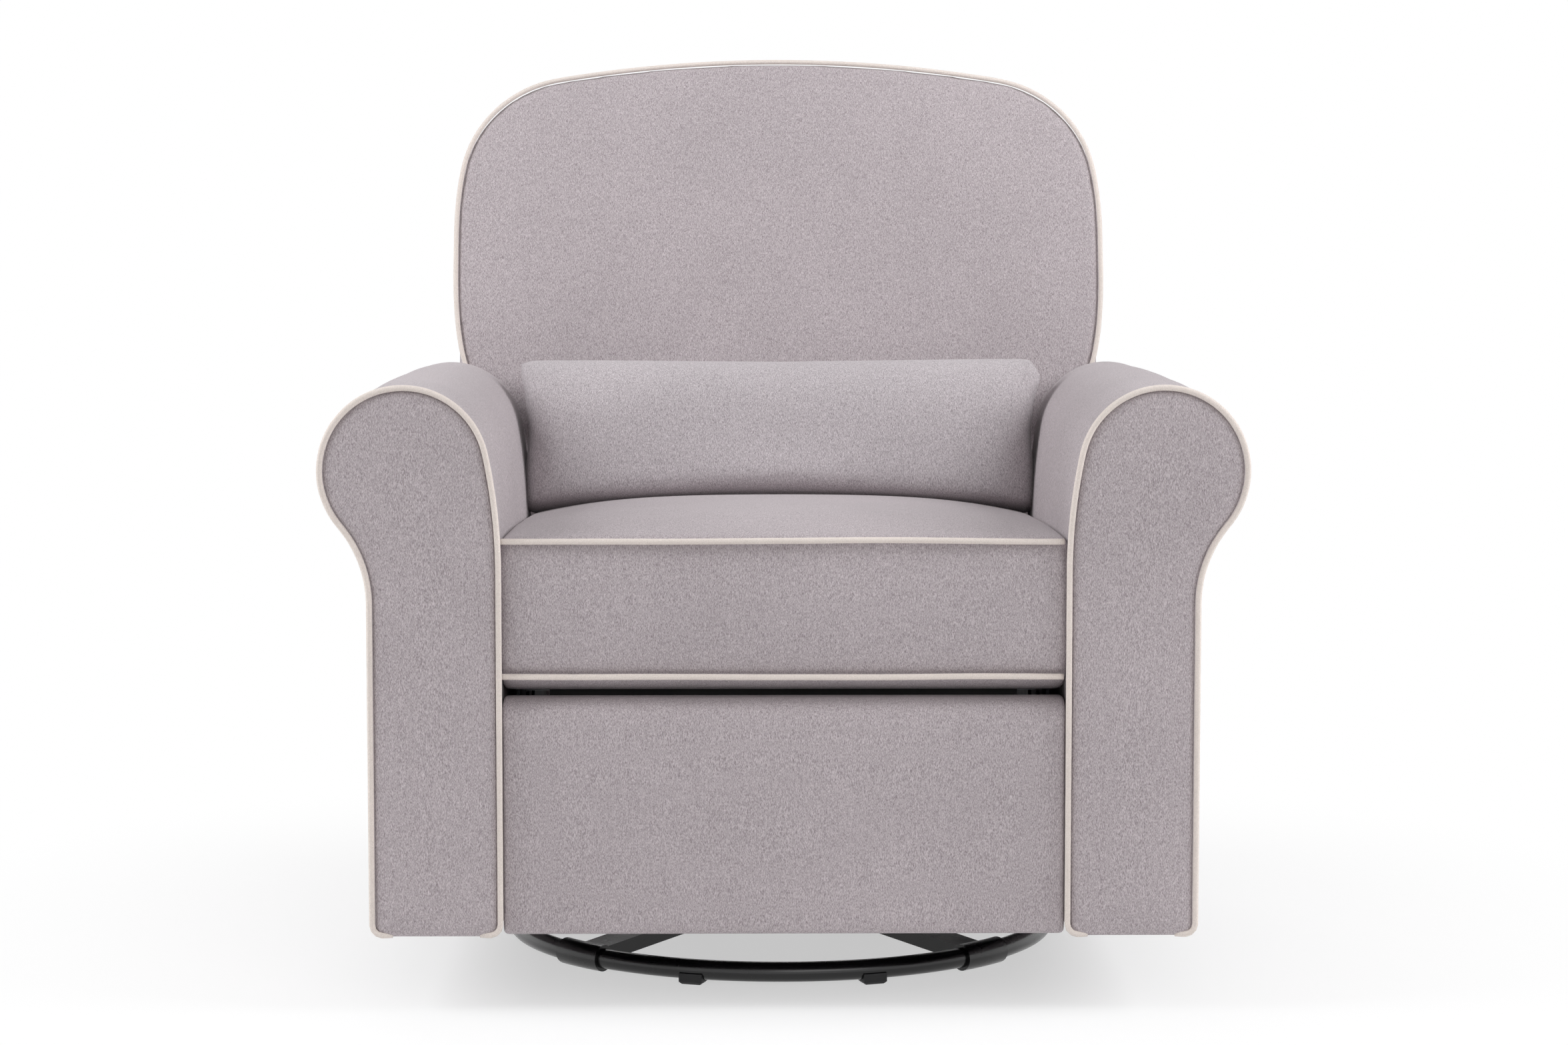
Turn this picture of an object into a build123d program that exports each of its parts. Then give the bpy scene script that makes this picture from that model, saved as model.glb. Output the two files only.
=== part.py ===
"""Swivel glider recliner for a nursery.

Roll arms, a boxed seat, a winged back and a footrest panel hang on a gliding parallelogram,
which turns on a ring base. Millimetres, Z up, the chair faces -Y, floor at Z 0.
"""

import os
from math import cos, pi, radians, sin

from build123d import *

os.makedirs("parts", exist_ok=True)

# Clearances
RUN = 0.05  # radial clearance of a turning pin in its hole
FIT = 0.15  # gap between fixed neighbours that are not welded
SKIN = 0.3  # gap between soft covers and the pieces beside them
HEAD_T = 2.0  # thickness of a rivet head

# Widths that follow from the seat
SEAT_HALF = 264.0
SEAT_SIDE_GAP = 7.0  # from the seat cushion's box to the arm beside it
ARM_W = 124.0
ROLL_REACH = 90.0
SIDE_STANDOFF = 14.0
PILLOW_SIDE_GAP = 1.0
FOOTREST_SIDE_GAP = 4.0
BACK_SIDE_GAP = 15.0
ARM_IN = SEAT_HALF + SEAT_SIDE_GAP
ARM_OUT = ARM_IN + ARM_W
ROLL_X = ARM_IN + ROLL_REACH
SIDE_X = ARM_IN - SIDE_STANDOFF

# Ring base
SWIVEL_Y = -30.0
RING_R = 280.0
TUBE_R = 10.0
FOOT_LIFT = 4.0
RING_Z = FOOT_LIFT + TUBE_R
FOOT_ANGLES = [18.5, 90.0, 161.5]
FOOT_W = 24.0
FOOT_D = 22.0
FOOT_H = 11.0
HUB_FOOT_X = 100.0
SLEEVE_R = 13.4
SLEEVE_LEN = 57.0
CROSS_ANGLE = 46.0
CROSS_W = 34.0
CROSS_H = 15.0
SHEET = 3.0
HUB_R = 66.0
HUB_Z = 40.0
HUB_T = 6.0

# Swivel bearing
RACE_R = 58.0
RACE_BORE = 30.0
RACE_T = 6.0
RACE_GAP = 2.0
BALL_CIRCLE = 46.0
BALL_R = 3.6
BALLS = 12
KING_R = 8.0
NUT_T = 8.0

# Swivel plate and glide frames
PLATE_T = 5.0
PLATE_W = 268.0
PLATE_FRONT = -146.0
PLATE_REAR = 86.0
FRAME_X = 128.0
FRAME_T = 4.0
WEB_H = 22.0
EYE_R = 16.0

# Glide links
LINK_L = 130.0
LINK_T = 4.0
LINK_EYE = 13.0
LINK_GAP = 2.5
PIVOT_FRONT = -115.0
PIVOT_REAR = 55.0
PIVOT_HIGH = 235.0
PIVOT_LOW = PIVOT_HIGH - LINK_L
PIN_R = 6.0
PIN_HEAD = 9.0

# Chassis
HANGER_T = 4.0
HANGER_FRONT = -240.0
HANGER_REAR = 180.0
HANGER_H = 40.0
RAIL_FRONT = -215.0
RAIL_REAR = 155.0
RAIL_R = 12.0
SIDE_T = 3.0
SIDE_FRONT = -342.0
SIDE_REAR = 112.0
SIDE_LOW = 88.0
SIDE_TOP = 304.0
BEAM_H = 50.0
SPACER_R = 9.0
BOLT_R = 6.0

# Arms
ARM_FRONT = -430.0
ARM_LOW = 75.0
ROLL_Z = 521.0
ROLL_R = 80.0
EASE_ANGLE = 12.0
NECK_ANGLE = 40.0
ARM_CORNER = 10.0
ARM_TAIL = 280.0
ARM_TAIL_Z = 300.0
ARM_BACK_GAP = 14.0
ARM_SHOULDER_Z = 428.0
ARM_WALL = 26.0
BOARD_T = 18.0
WELT_R = 3.2
WELT_BED = 6.0

# Seat
SEAT_FRONT = -420.0
SEAT_BED = 312.0
SEAT_WELT_LOW = 324.0
SEAT_EDGE = 457.0
SEAT_CROWN = 21.0
SEAT_FALL = 20.0  # drop of the seat's top edge from front to rear
SEAT_CORNER = 12.0
SEAT_BACK_GAP = 7.0
RAIL_IN = SIDE_X - 52.0
RAIL_W = 22.0
RAIL_H = 39.5
SEAT_RAIL_FRONT = -362.0
SEAT_RAIL_REAR = 76.0
ROD_R = 8.0
ROD_Z = 290.0
ROD_FRONT = -205.0
ROD_REAR = 40.0
WIRE_R = 1.9
SPRING_XS = [-150.0, -50.0, 50.0, 150.0]
SPRING_TURNS = 8
SPRING_HALF = 20.0

# Back
BACK_Y = 115.0
BACK_Z = 440.0
LEAN = 17.0
BACK_HALF = 360.0
BACK_NARROW = ARM_IN - BACK_SIDE_GAP
BACK_TOP = 517.0
BACK_SHOULDER = 317.0
BACK_LOW = -104.0
BACK_WING = -4.0
CREST_R = 130.0
CREST_SIDE = 10.0
CREST_TOP = 10.0
NOTCH_LOW = 62.0
NOTCH_TOP = 150.0
PAD_T = 60.0
SHELL_WALL = 14.0
BACK_CROWN = 15.0
BACK_BULGE = 10.0
STILE_X = BACK_NARROW - 56.0
STILE_W = 40.0
STILE_T = 38.0
HINGE_Y = 130.0
HINGE_Z = 330.0
HINGE_R = 6.0
HINGE_ARM_X = ARM_IN - 12.5
HINGE_ARM_T = 3.0
HINGE_PLATE_T = 4.0

# Lumbar pillow
PILLOW_HALF = ARM_IN - PILLOW_SIDE_GAP
PILLOW_H = 152.0
PILLOW_T = 104.0
PILLOW_Y = 73.2
PILLOW_Z = 533.5

# Footrest panel
FOOTREST_HALF = ARM_IN - FOOTREST_SIDE_GAP
FOOTREST_FRONT = -424.0
FOOTREST_REAR = -380.0
FOOTREST_LOW = 74.0
FOOTREST_TOP = 301.0
PANEL_T = 12.0
PANEL_MARGIN = 12.0

# Footrest tongs: two families of parallel links, measured from the +Y direction
TONG_L = 170.0
TONG_W = 18.0
TONG_T = 3.0
TONG_Y = -307.0
TONG_Z = 286.0
FALL_SHUT = 266.0
FALL_OPEN = 178.0
RISE_SHUT = 104.0
RISE_OPEN = 155.0
FALL_X = SIDE_X - 7.0
RISE_X = SIDE_X - 11.5
RIVET_R = 4.0
RIVET_HEAD = 7.0
TRACK_STEPS = 10

# Heights that follow from the sizes above
LOW_RACE_Z = HUB_Z + HUB_T
HIGH_RACE_Z = LOW_RACE_Z + RACE_T + RACE_GAP
PLATE_Z = HIGH_RACE_Z + RACE_T
FRAME_Z = PLATE_Z + PLATE_T
LINK_X = FRAME_X + FRAME_T + LINK_GAP
HANGER_X = LINK_X + LINK_T + LINK_GAP
WELT_INSET = WELT_BED / 2 - (WELT_R + 0.25) / 2**0.5
REAR_Y = WELT_R - WELT_INSET - ARM_FRONT
SHELL_T = (REAR_Y - BACK_Y - BACK_TOP * sin(radians(LEAN))) / cos(radians(LEAN)) - PAD_T - FIT
BACK_PLANE = Plane(
    origin=(0, BACK_Y, BACK_Z),
    x_dir=(1, 0, 0),
    z_dir=(0, -cos(radians(LEAN)), sin(radians(LEAN))),
)


def save(piece: BuildPart, name: str) -> None:
    """Label a finished piece and write it to its own file."""
    piece.part.label = name
    export_step(piece.part, f"parts/{name}.step")


def radial_plane(angle: float) -> Plane:
    """Upright plane through the swivel axis, local X outward, angle from the chair's front."""
    out = (sin(radians(angle)), -cos(radians(angle)))
    return Plane(origin=(0, SWIVEL_Y, 0), x_dir=(*out, 0), z_dir=(out[1], -out[0], 0))


def side_plane(x: float) -> Plane:
    """Plane facing +X at the given X, local X along Y and local Y along Z."""
    return Plane.YZ.offset(x)


def pin(y: float, z: float, x0: float, x1: float, radius: float, mode: Mode = Mode.ADD) -> None:
    """Round bar along X between x0 and x1, added to the piece being built."""
    with Locations(Location((x0, y, z), (0, 90, 0))):
        Cylinder(radius, x1 - x0, align=(Align.CENTER, Align.CENTER, Align.MIN), mode=mode)


def bar(start: tuple, end: tuple, width: float, x0: float, thick: float) -> None:
    """Flat link with round ends between two pivot points, added to the piece being built."""
    with BuildSketch(side_plane(x0)) as outline:
        with BuildLine(mode=Mode.PRIVATE) as spine:
            Line(start, end)
        SlotArc(spine.line.edge(), width)
    extrude(outline.sketch, amount=thick)


def rivet(point: tuple, inner: float, outer: float) -> None:
    """Rivet along X with a head at each end, added to the piece being built."""
    pin(point[0], point[1], inner - HEAD_T - FIT, outer + HEAD_T + FIT, RIVET_R)
    pin(point[0], point[1], inner - HEAD_T - FIT, inner - FIT, RIVET_HEAD)
    pin(point[0], point[1], outer + FIT, outer + HEAD_T + FIT, RIVET_HEAD)


def heading(angle: float) -> Vector:
    """Unit direction in the side view."""
    return Vector(cos(radians(angle)), sin(radians(angle)))


def tong_points(share: float) -> dict:
    """Pivot points of the tongs in the side view, share 0 shut and 1 open."""
    fall = heading(FALL_SHUT + (FALL_OPEN - FALL_SHUT) * share)
    rise = heading(RISE_SHUT + (RISE_OPEN - RISE_SHUT) * share)
    half = TONG_L / 2
    ground = Vector(TONG_Y, TONG_Z)
    points = {
        "ground": ground,
        "cross": ground + fall * half,
        "low1": ground + fall * TONG_L,
        "high1": ground + (fall + rise) * half,
        "slot": ground + (fall - rise) * half,
        "low2": ground + (fall + rise) * half + fall * TONG_L,
        "middle": ground + fall * TONG_L + rise * half,
        "high2": ground + (fall + rise) * TONG_L,
        "bracket": ground + (fall + rise) * TONG_L + fall * half,
    }
    return {name: (spot.X, spot.Y) for name, spot in points.items()}


TONG = tong_points(0)


def arm_curve(inset: float, floor: float) -> Wire:
    """Front outline of the right arm from corner to corner, drawn inwards by inset."""
    ease_r = (ROLL_X - ROLL_R * cos(radians(EASE_ANGLE)) - ARM_IN) / (1 - cos(radians(EASE_ANGLE)))
    ease_z = ROLL_Z + (ROLL_R - ease_r) * sin(radians(EASE_ANGLE))
    neck_r = (ROLL_X + ROLL_R * cos(radians(NECK_ANGLE)) - ARM_OUT) / (1 - cos(radians(NECK_ANGLE)))
    neck_z = ROLL_Z - (ROLL_R + neck_r) * sin(radians(NECK_ANGLE))
    low = floor + ARM_CORNER
    with BuildLine() as outline:
        CenterArc((ARM_IN + ARM_CORNER + inset, low), ARM_CORNER, 270, -90)
        Line((ARM_IN + inset, low), (ARM_IN + inset, ease_z))
        CenterArc((ARM_IN + ease_r, ease_z), ease_r - inset, 180, -EASE_ANGLE)
        CenterArc((ROLL_X, ROLL_Z), ROLL_R - inset, 180 - EASE_ANGLE, EASE_ANGLE - 180 - NECK_ANGLE)
        CenterArc((ARM_OUT + neck_r, neck_z), neck_r + inset, 180 - NECK_ANGLE, NECK_ANGLE)
        Line((ARM_OUT - inset, neck_z), (ARM_OUT - inset, low))
        CenterArc((ARM_OUT - ARM_CORNER - inset, low), ARM_CORNER, 0, -90)
    return Wire(outline.edges())


def arm_face(inset: float, floor: float) -> Sketch:
    """Front section of the right arm, drawn inwards by inset."""
    with BuildSketch() as section:
        with BuildLine():
            add(arm_curve(inset, floor).edges())
            Line((ARM_IN + ARM_CORNER + inset, floor), (ARM_OUT - ARM_CORNER - inset, floor))
        make_face()
    return section.sketch


def arm_side(front: float, trim: float) -> Sketch:
    """Side section of an arm, its rear edge drawn in by trim."""
    slope = sin(radians(LEAN)) / cos(radians(LEAN))
    top = ROLL_Z + ROLL_R + 20
    edge = BACK_Y - (ARM_BACK_GAP + trim) / cos(radians(LEAN))
    with BuildSketch() as section:
        with BuildLine():
            Polyline(
                (front, ARM_LOW - 60),
                (front, top),
                (edge + (top - BACK_Z) * slope, top),
                (edge + (ARM_SHOULDER_Z - BACK_Z) * slope, ARM_SHOULDER_Z),
                (ARM_TAIL - trim, ARM_TAIL_Z - trim),
                (ARM_TAIL - trim, ARM_LOW - 60),
                close=True,
            )
        make_face()
    return section.sketch


def crest(inset: float) -> ShapeList:
    """Rounded top of the back from the right shoulder to the left one, drawn in by inset."""
    side_turn = radians(CREST_SIDE)
    top_turn = radians(90 - CREST_TOP)
    rise = BACK_TOP - BACK_SHOULDER - CREST_R * (sin(top_turn) - sin(side_turn))
    reach = BACK_HALF - CREST_R * (cos(side_turn) - cos(top_turn))
    share = (1 - sin(top_turn)) / cos(top_turn)
    side_r = (rise - reach * share) / (sin(side_turn) - (1 - cos(side_turn)) * share)
    top_r = (reach - side_r * (1 - cos(side_turn))) / cos(top_turn)
    side_c = Vector(BACK_HALF - side_r, BACK_SHOULDER)
    corner_c = side_c + Vector(cos(side_turn), sin(side_turn)) * (side_r - CREST_R)
    corner_arc = 90 - CREST_TOP - CREST_SIDE
    with BuildLine() as arch:
        CenterArc(side_c, side_r - inset, 0, CREST_SIDE)
        CenterArc(corner_c, CREST_R - inset, CREST_SIDE, corner_arc)
        CenterArc((0, BACK_TOP - top_r), top_r - inset, 90 - CREST_TOP, 2 * CREST_TOP)
        CenterArc((-corner_c.X, corner_c.Y), CREST_R - inset, 90 + CREST_TOP, corner_arc)
        CenterArc((-side_c.X, side_c.Y), side_r - inset, 180 - CREST_SIDE, CREST_SIDE)
    return arch.edges()


def back_front(inset: float) -> Sketch:
    """Front section of the back cushion, narrow between the arms, drawn in by inset."""
    wide = BACK_HALF - inset
    slim = BACK_NARROW - inset
    notch = [(slim, NOTCH_LOW), (slim + 16, NOTCH_LOW + 56), (slim + 50, NOTCH_TOP)]
    flare = [(slim + 54, NOTCH_TOP), (wide - 14, NOTCH_TOP + 38), (wide, NOTCH_TOP + 96)]
    with BuildSketch() as section:
        with BuildLine():
            for side in (1, -1):
                Line((0, BACK_LOW + inset), (side * slim, BACK_LOW + inset))
                Line((side * slim, BACK_LOW + inset), (side * slim, NOTCH_LOW))
                ThreePointArc(*[(side * x, v) for x, v in notch])
                Line((side * notch[2][0], NOTCH_TOP), (side * flare[0][0], NOTCH_TOP))
                ThreePointArc(*[(side * x, v) for x, v in flare])
                Line((side * wide, flare[2][1]), (side * wide, BACK_SHOULDER))
            add(crest(inset))
        make_face()
    return section.sketch


def back_wide(inset: float) -> Sketch:
    """Section of the back's outer shell with its wings, drawn in by inset."""
    wide = BACK_HALF - inset
    slim = BACK_NARROW - inset
    with BuildSketch() as section:
        with BuildLine():
            Polyline(
                (-wide, BACK_SHOULDER),
                (-wide, BACK_WING + inset),
                (-slim, BACK_WING + inset),
                (-slim, BACK_LOW + inset),
                (slim, BACK_LOW + inset),
                (slim, BACK_WING + inset),
                (wide, BACK_WING + inset),
                (wide, BACK_SHOULDER),
            )
            add(crest(inset))
        make_face()
    return section.sketch


# Ring base
with BuildPart() as base_ring:
    with Locations((0, SWIVEL_Y, RING_Z)):
        Torus(RING_R, TUBE_R)
save(base_ring, "base_ring")

with BuildPart() as base_feet:
    for foot_angle in FOOT_ANGLES:
        for side in (1, -1):
            turn = radians(side * foot_angle)
            spot = (RING_R * sin(turn), SWIVEL_Y - RING_R * cos(turn), 0)
            with Locations(Location(spot, (0, 0, side * foot_angle))):
                Box(FOOT_W, FOOT_D, FOOT_H, align=(Align.CENTER, Align.CENTER, Align.MIN))
    with Locations((HUB_FOOT_X, SWIVEL_Y, 0), (-HUB_FOOT_X, SWIVEL_Y, 0)):
        Box(FOOT_W, FOOT_D, HUB_Z - FIT, align=(Align.CENTER, Align.CENTER, Align.MIN))
    chamfer(base_feet.edges().group_by(Axis.Z)[0], length=2.5)
    with Locations((0, SWIVEL_Y, RING_Z)):
        Torus(RING_R, TUBE_R + FIT, mode=Mode.SUBTRACT)
save(base_feet, "base_feet")

with BuildPart() as hub_tabs:
    tab_end = HUB_FOOT_X + FOOT_W / 2
    with Locations((0, SWIVEL_Y, HUB_Z)):
        Box(2 * tab_end, FOOT_D, HUB_T, align=(Align.CENTER, Align.CENTER, Align.MIN))
        Cylinder(HUB_R, 3 * HUB_T, mode=Mode.SUBTRACT)
save(hub_tabs, "hub_tabs")

with BuildPart() as cross_frame:
    with Locations((0, SWIVEL_Y, HUB_Z)):
        Cylinder(HUB_R, HUB_T, align=(Align.CENTER, Align.CENTER, Align.MIN))
    sleeve_arc = SLEEVE_LEN / RING_R * 180 / pi
    bar_start = HUB_R - 24
    bar_end = RING_R - SLEEVE_R + 5
    hub_top = HUB_Z + HUB_T
    end_top = RING_Z + CROSS_H / 2
    for cross_angle in (CROSS_ANGLE, 180 - CROSS_ANGLE, 180 + CROSS_ANGLE, -CROSS_ANGLE):
        with BuildSketch(radial_plane(cross_angle)):
            with BuildLine():
                Polyline(
                    (bar_start, hub_top - CROSS_H),
                    (bar_start, hub_top),
                    (HUB_R, hub_top),
                    (bar_end, end_top),
                    (bar_end, end_top - CROSS_H),
                    (HUB_R, hub_top - CROSS_H),
                    close=True,
                )
            make_face()
        extrude(amount=CROSS_W / 2, both=True)
        with BuildSketch(radial_plane(cross_angle)):
            with BuildLine():
                Polyline(
                    (HUB_R + 4, hub_top - CROSS_H - 5),
                    (HUB_R + 4, hub_top - SHEET - 0.6),
                    (bar_end - 22, end_top + 1.4),
                    (bar_end - 22, end_top - CROSS_H - 8),
                    close=True,
                )
            make_face()
        extrude(amount=CROSS_W / 2 - SHEET, both=True, mode=Mode.SUBTRACT)
        with BuildSketch(radial_plane(cross_angle - sleeve_arc / 2)):
            with Locations((RING_R, RING_Z)):
                Circle(SLEEVE_R)
        revolve(axis=Axis((0, SWIVEL_Y, 0), (0, 0, 1)), revolution_arc=sleeve_arc)
    with Locations((0, SWIVEL_Y, RING_Z)):
        Torus(RING_R, TUBE_R + FIT, mode=Mode.SUBTRACT)
    with Locations((0, SWIVEL_Y, HUB_Z - 20)):
        Cylinder(KING_R + FIT, 60, align=(Align.CENTER, Align.CENTER, Align.MIN), mode=Mode.SUBTRACT)
save(cross_frame, "cross_frame")

# Swivel bearing
ball_z = (LOW_RACE_Z + HIGH_RACE_Z + RACE_T) / 2


def race(z: float) -> None:
    """Bearing race with a ball groove, added to the piece being built."""
    with Locations((0, SWIVEL_Y, z)):
        Cylinder(RACE_R, RACE_T, align=(Align.CENTER, Align.CENTER, Align.MIN))
        Cylinder(RACE_BORE, RACE_T, align=(Align.CENTER, Align.CENTER, Align.MIN), mode=Mode.SUBTRACT)
    with Locations((0, SWIVEL_Y, ball_z)):
        Torus(BALL_CIRCLE, BALL_R + RUN, mode=Mode.SUBTRACT)


with BuildPart() as lower_race:
    race(LOW_RACE_Z)
save(lower_race, "lower_race")

with BuildPart() as upper_race:
    race(HIGH_RACE_Z)
save(upper_race, "upper_race")

with BuildPart() as bearing_balls:
    with Locations((0, SWIVEL_Y, ball_z)):
        with PolarLocations(BALL_CIRCLE, BALLS):
            Sphere(BALL_R)
save(bearing_balls, "bearing_balls")

with BuildPart() as king_pin:
    with Locations((0, SWIVEL_Y, HUB_Z - 6)):
        Cylinder(KING_R + 6, 6 - FIT, align=(Align.CENTER, Align.CENTER, Align.MIN))
    with Locations((0, SWIVEL_Y, HUB_Z - 6)):
        Cylinder(KING_R, FRAME_Z - HUB_Z + 6 + NUT_T, align=(Align.CENTER, Align.CENTER, Align.MIN))
    with BuildSketch(Plane.XY.offset(FRAME_Z + SKIN)):
        with Locations((0, SWIVEL_Y)):
            RegularPolygon(KING_R + 6, 6)
    extrude(amount=NUT_T - SKIN)
save(king_pin, "king_pin")

# Swivel plate and glide frames
with BuildPart() as swivel_plate:
    with BuildSketch(Plane.XY.offset(PLATE_Z)):
        with Locations((0, (PLATE_FRONT + PLATE_REAR) / 2)):
            RectangleRounded(PLATE_W, PLATE_REAR - PLATE_FRONT, 18)
        with Locations((0, SWIVEL_Y)):
            Circle(KING_R + RUN, mode=Mode.SUBTRACT)
    extrude(amount=PLATE_T)
save(swivel_plate, "swivel_plate")

with BuildPart() as glide_frames:
    with BuildSketch(side_plane(FRAME_X)):
        with Locations(((PIVOT_FRONT + PIVOT_REAR) / 2, FRAME_Z + WEB_H / 2)):
            Rectangle(PIVOT_REAR - PIVOT_FRONT + 2 * EYE_R, WEB_H)
        for pivot in (PIVOT_FRONT, PIVOT_REAR):
            with Locations((pivot, (FRAME_Z + PIVOT_HIGH) / 2)):
                Rectangle(2 * EYE_R, PIVOT_HIGH - FRAME_Z)
            with Locations((pivot, PIVOT_HIGH)):
                Circle(EYE_R)
                Circle(PIN_R + FIT, mode=Mode.SUBTRACT)
    extrude(amount=FRAME_T)
    mirror(about=Plane.YZ)
save(glide_frames, "glide_frames")

with BuildPart() as upper_pins:
    for pivot in (PIVOT_FRONT, PIVOT_REAR):
        pin(pivot, PIVOT_HIGH, FRAME_X - HEAD_T - 1, LINK_X + LINK_T + SKIN + HEAD_T, PIN_R)
        pin(pivot, PIVOT_HIGH, FRAME_X - HEAD_T - 1, FRAME_X, PIN_HEAD)
        pin(pivot, PIVOT_HIGH, LINK_X + LINK_T + SKIN, LINK_X + LINK_T + SKIN + HEAD_T, PIN_HEAD)
    mirror(about=Plane.YZ)
save(upper_pins, "upper_pins")


def glide_pair(pivot: float) -> None:
    """Hanging link on each side at one pivot station, added to the piece being built."""
    bar((pivot, PIVOT_LOW), (pivot, PIVOT_HIGH), 2 * LINK_EYE, LINK_X, LINK_T)
    for level in (PIVOT_LOW, PIVOT_HIGH):
        pin(pivot, level, LINK_X - 1, LINK_X + LINK_T + 1, PIN_R + RUN, Mode.SUBTRACT)
    mirror(about=Plane.YZ)


with BuildPart() as front_links:
    glide_pair(PIVOT_FRONT)
save(front_links, "front_links")

with BuildPart() as rear_links:
    glide_pair(PIVOT_REAR)
save(rear_links, "rear_links")

# Chassis
with BuildPart() as lower_pins:
    for pivot in (PIVOT_FRONT, PIVOT_REAR):
        inner = LINK_X - SKIN
        pin(pivot, PIVOT_LOW, inner - HEAD_T, HANGER_X + HANGER_T + HEAD_T, PIN_R)
        pin(pivot, PIVOT_LOW, inner - HEAD_T + 0.2, inner, PIN_HEAD)
        pin(pivot, PIVOT_LOW, HANGER_X + HANGER_T, HANGER_X + HANGER_T + HEAD_T, PIN_HEAD)
    mirror(about=Plane.YZ)
save(lower_pins, "lower_pins")

with BuildPart() as hanger_plates:
    with BuildSketch(side_plane(HANGER_X)):
        with Locations(((HANGER_FRONT + HANGER_REAR) / 2, PIVOT_LOW)):
            RectangleRounded(HANGER_REAR - HANGER_FRONT, HANGER_H, 12)
        for pivot in (PIVOT_FRONT, PIVOT_REAR):
            with Locations((pivot, PIVOT_LOW)):
                Circle(PIN_R + FIT, mode=Mode.SUBTRACT)
        for rail in (RAIL_FRONT, RAIL_REAR):
            with Locations((rail, PIVOT_LOW)):
                Circle(RAIL_R + FIT, mode=Mode.SUBTRACT)
    extrude(amount=HANGER_T)
    mirror(about=Plane.YZ)
save(hanger_plates, "hanger_plates")

with BuildPart() as cross_rails:
    for rail in (RAIL_FRONT, RAIL_REAR):
        pin(rail, PIVOT_LOW, -SIDE_X, SIDE_X, RAIL_R)
        pin(rail, PIVOT_LOW, -SIDE_X, SIDE_X, RAIL_R - 2, Mode.SUBTRACT)
save(cross_rails, "cross_rails")

BOLT_SPOTS = [(-232.0, 270.0), (-150.0, 270.0), (84.0, 270.0), (-150.0, 112.0), (84.0, 112.0)]

with BuildPart() as side_plates:
    with BuildSketch(side_plane(SIDE_X)):
        with BuildLine():
            Polyline(
                (SIDE_FRONT, SIDE_TOP),
                (SIDE_FRONT, SIDE_LOW + 14),
                (SIDE_FRONT + 14, SIDE_LOW),
                (RAIL_REAR + 20, SIDE_LOW),
                (RAIL_REAR + 20, SIDE_LOW + BEAM_H - 12),
                (SIDE_REAR, SIDE_LOW + BEAM_H),
                (SIDE_REAR, SIDE_TOP),
                close=True,
            )
        make_face()
        window_low = SIDE_LOW + BEAM_H
        window_top = ROD_Z - 52
        windows = [(TONG_Y + 62, -165.0), (-135.0, -55.0), (-30.0, 50.0)]
        for window in windows:
            with Locations(((window[0] + window[1]) / 2, (window_low + window_top) / 2)):
                RectangleRounded(window[1] - window[0], window_top - window_low, 12, mode=Mode.SUBTRACT)
        for step in range(TRACK_STEPS):
            start = Vector(*tong_points(step / TRACK_STEPS)["slot"])
            end = Vector(*tong_points((step + 1) / TRACK_STEPS)["slot"])
            SlotCenterPoint((start + end) / 2, end, 2 * (RIVET_R + SKIN), mode=Mode.SUBTRACT)
        with Locations(TONG["ground"]):
            Circle(RIVET_R + FIT, mode=Mode.SUBTRACT)
        for spot in BOLT_SPOTS:
            with Locations(spot):
                Circle(BOLT_R / 2 + FIT, mode=Mode.SUBTRACT)
    extrude(amount=SIDE_T)
    mirror(about=Plane.YZ)
save(side_plates, "side_plates")

with BuildPart() as arm_bolts:
    for spot in BOLT_SPOTS:
        pin(*spot, SIDE_X + SIDE_T, ARM_IN, SPACER_R)
        pin(*spot, SIDE_X - 3, SIDE_X + SIDE_T, BOLT_R / 2)
        pin(*spot, SIDE_X - 3, SIDE_X, BOLT_R)
    mirror(about=Plane.YZ)
save(arm_bolts, "arm_bolts")

with BuildPart() as rear_panel:
    panel_half = ARM_IN - SKIN
    with Locations((0, ARM_TAIL - 14, ARM_LOW)):
        Box(2 * panel_half, 12, 175, align=(Align.CENTER, Align.CENTER, Align.MIN))
    fillet(rear_panel.edges().filter_by(Axis.X).group_by(Axis.Y)[-1], radius=4)
save(rear_panel, "rear_panel")

# Arms
with BuildPart() as right_arm:
    arm_depth = ARM_TAIL - ARM_FRONT
    arm_width = ARM_OUT - ARM_IN + ROLL_R + 60
    with BuildSketch(Plane.XZ.offset(-ARM_FRONT)):
        add(arm_face(0, ARM_LOW))
    extrude(amount=-arm_depth)
    with BuildSketch(side_plane(ARM_IN - 20)):
        add(arm_side(ARM_FRONT - 5, 0))
    extrude(amount=arm_width, mode=Mode.INTERSECT)
    front_edges = right_arm.edges().group_by(Axis.Y)[0]
    chamfer(front_edges.filter_by(lambda edge: edge.center().Z > ARM_LOW + 0.5), length=WELT_BED)
    with BuildSketch(Plane.XZ.offset(-ARM_FRONT - ARM_WALL)) as cavity_face:
        add(arm_face(ARM_WALL, ARM_LOW - 30))
    with BuildSketch(side_plane(ARM_IN - 20)) as limit_face:
        add(arm_side(ARM_FRONT + ARM_WALL, ARM_WALL))
    cavity = extrude(cavity_face.sketch, amount=-arm_depth, mode=Mode.PRIVATE)
    limit = extrude(limit_face.sketch, amount=arm_width, mode=Mode.PRIVATE)
    add(cavity & limit, mode=Mode.SUBTRACT)
save(right_arm, "right_arm")

with BuildPart() as left_arm:
    add(right_arm.part.mirror(Plane.YZ))
save(left_arm, "left_arm")

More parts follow.
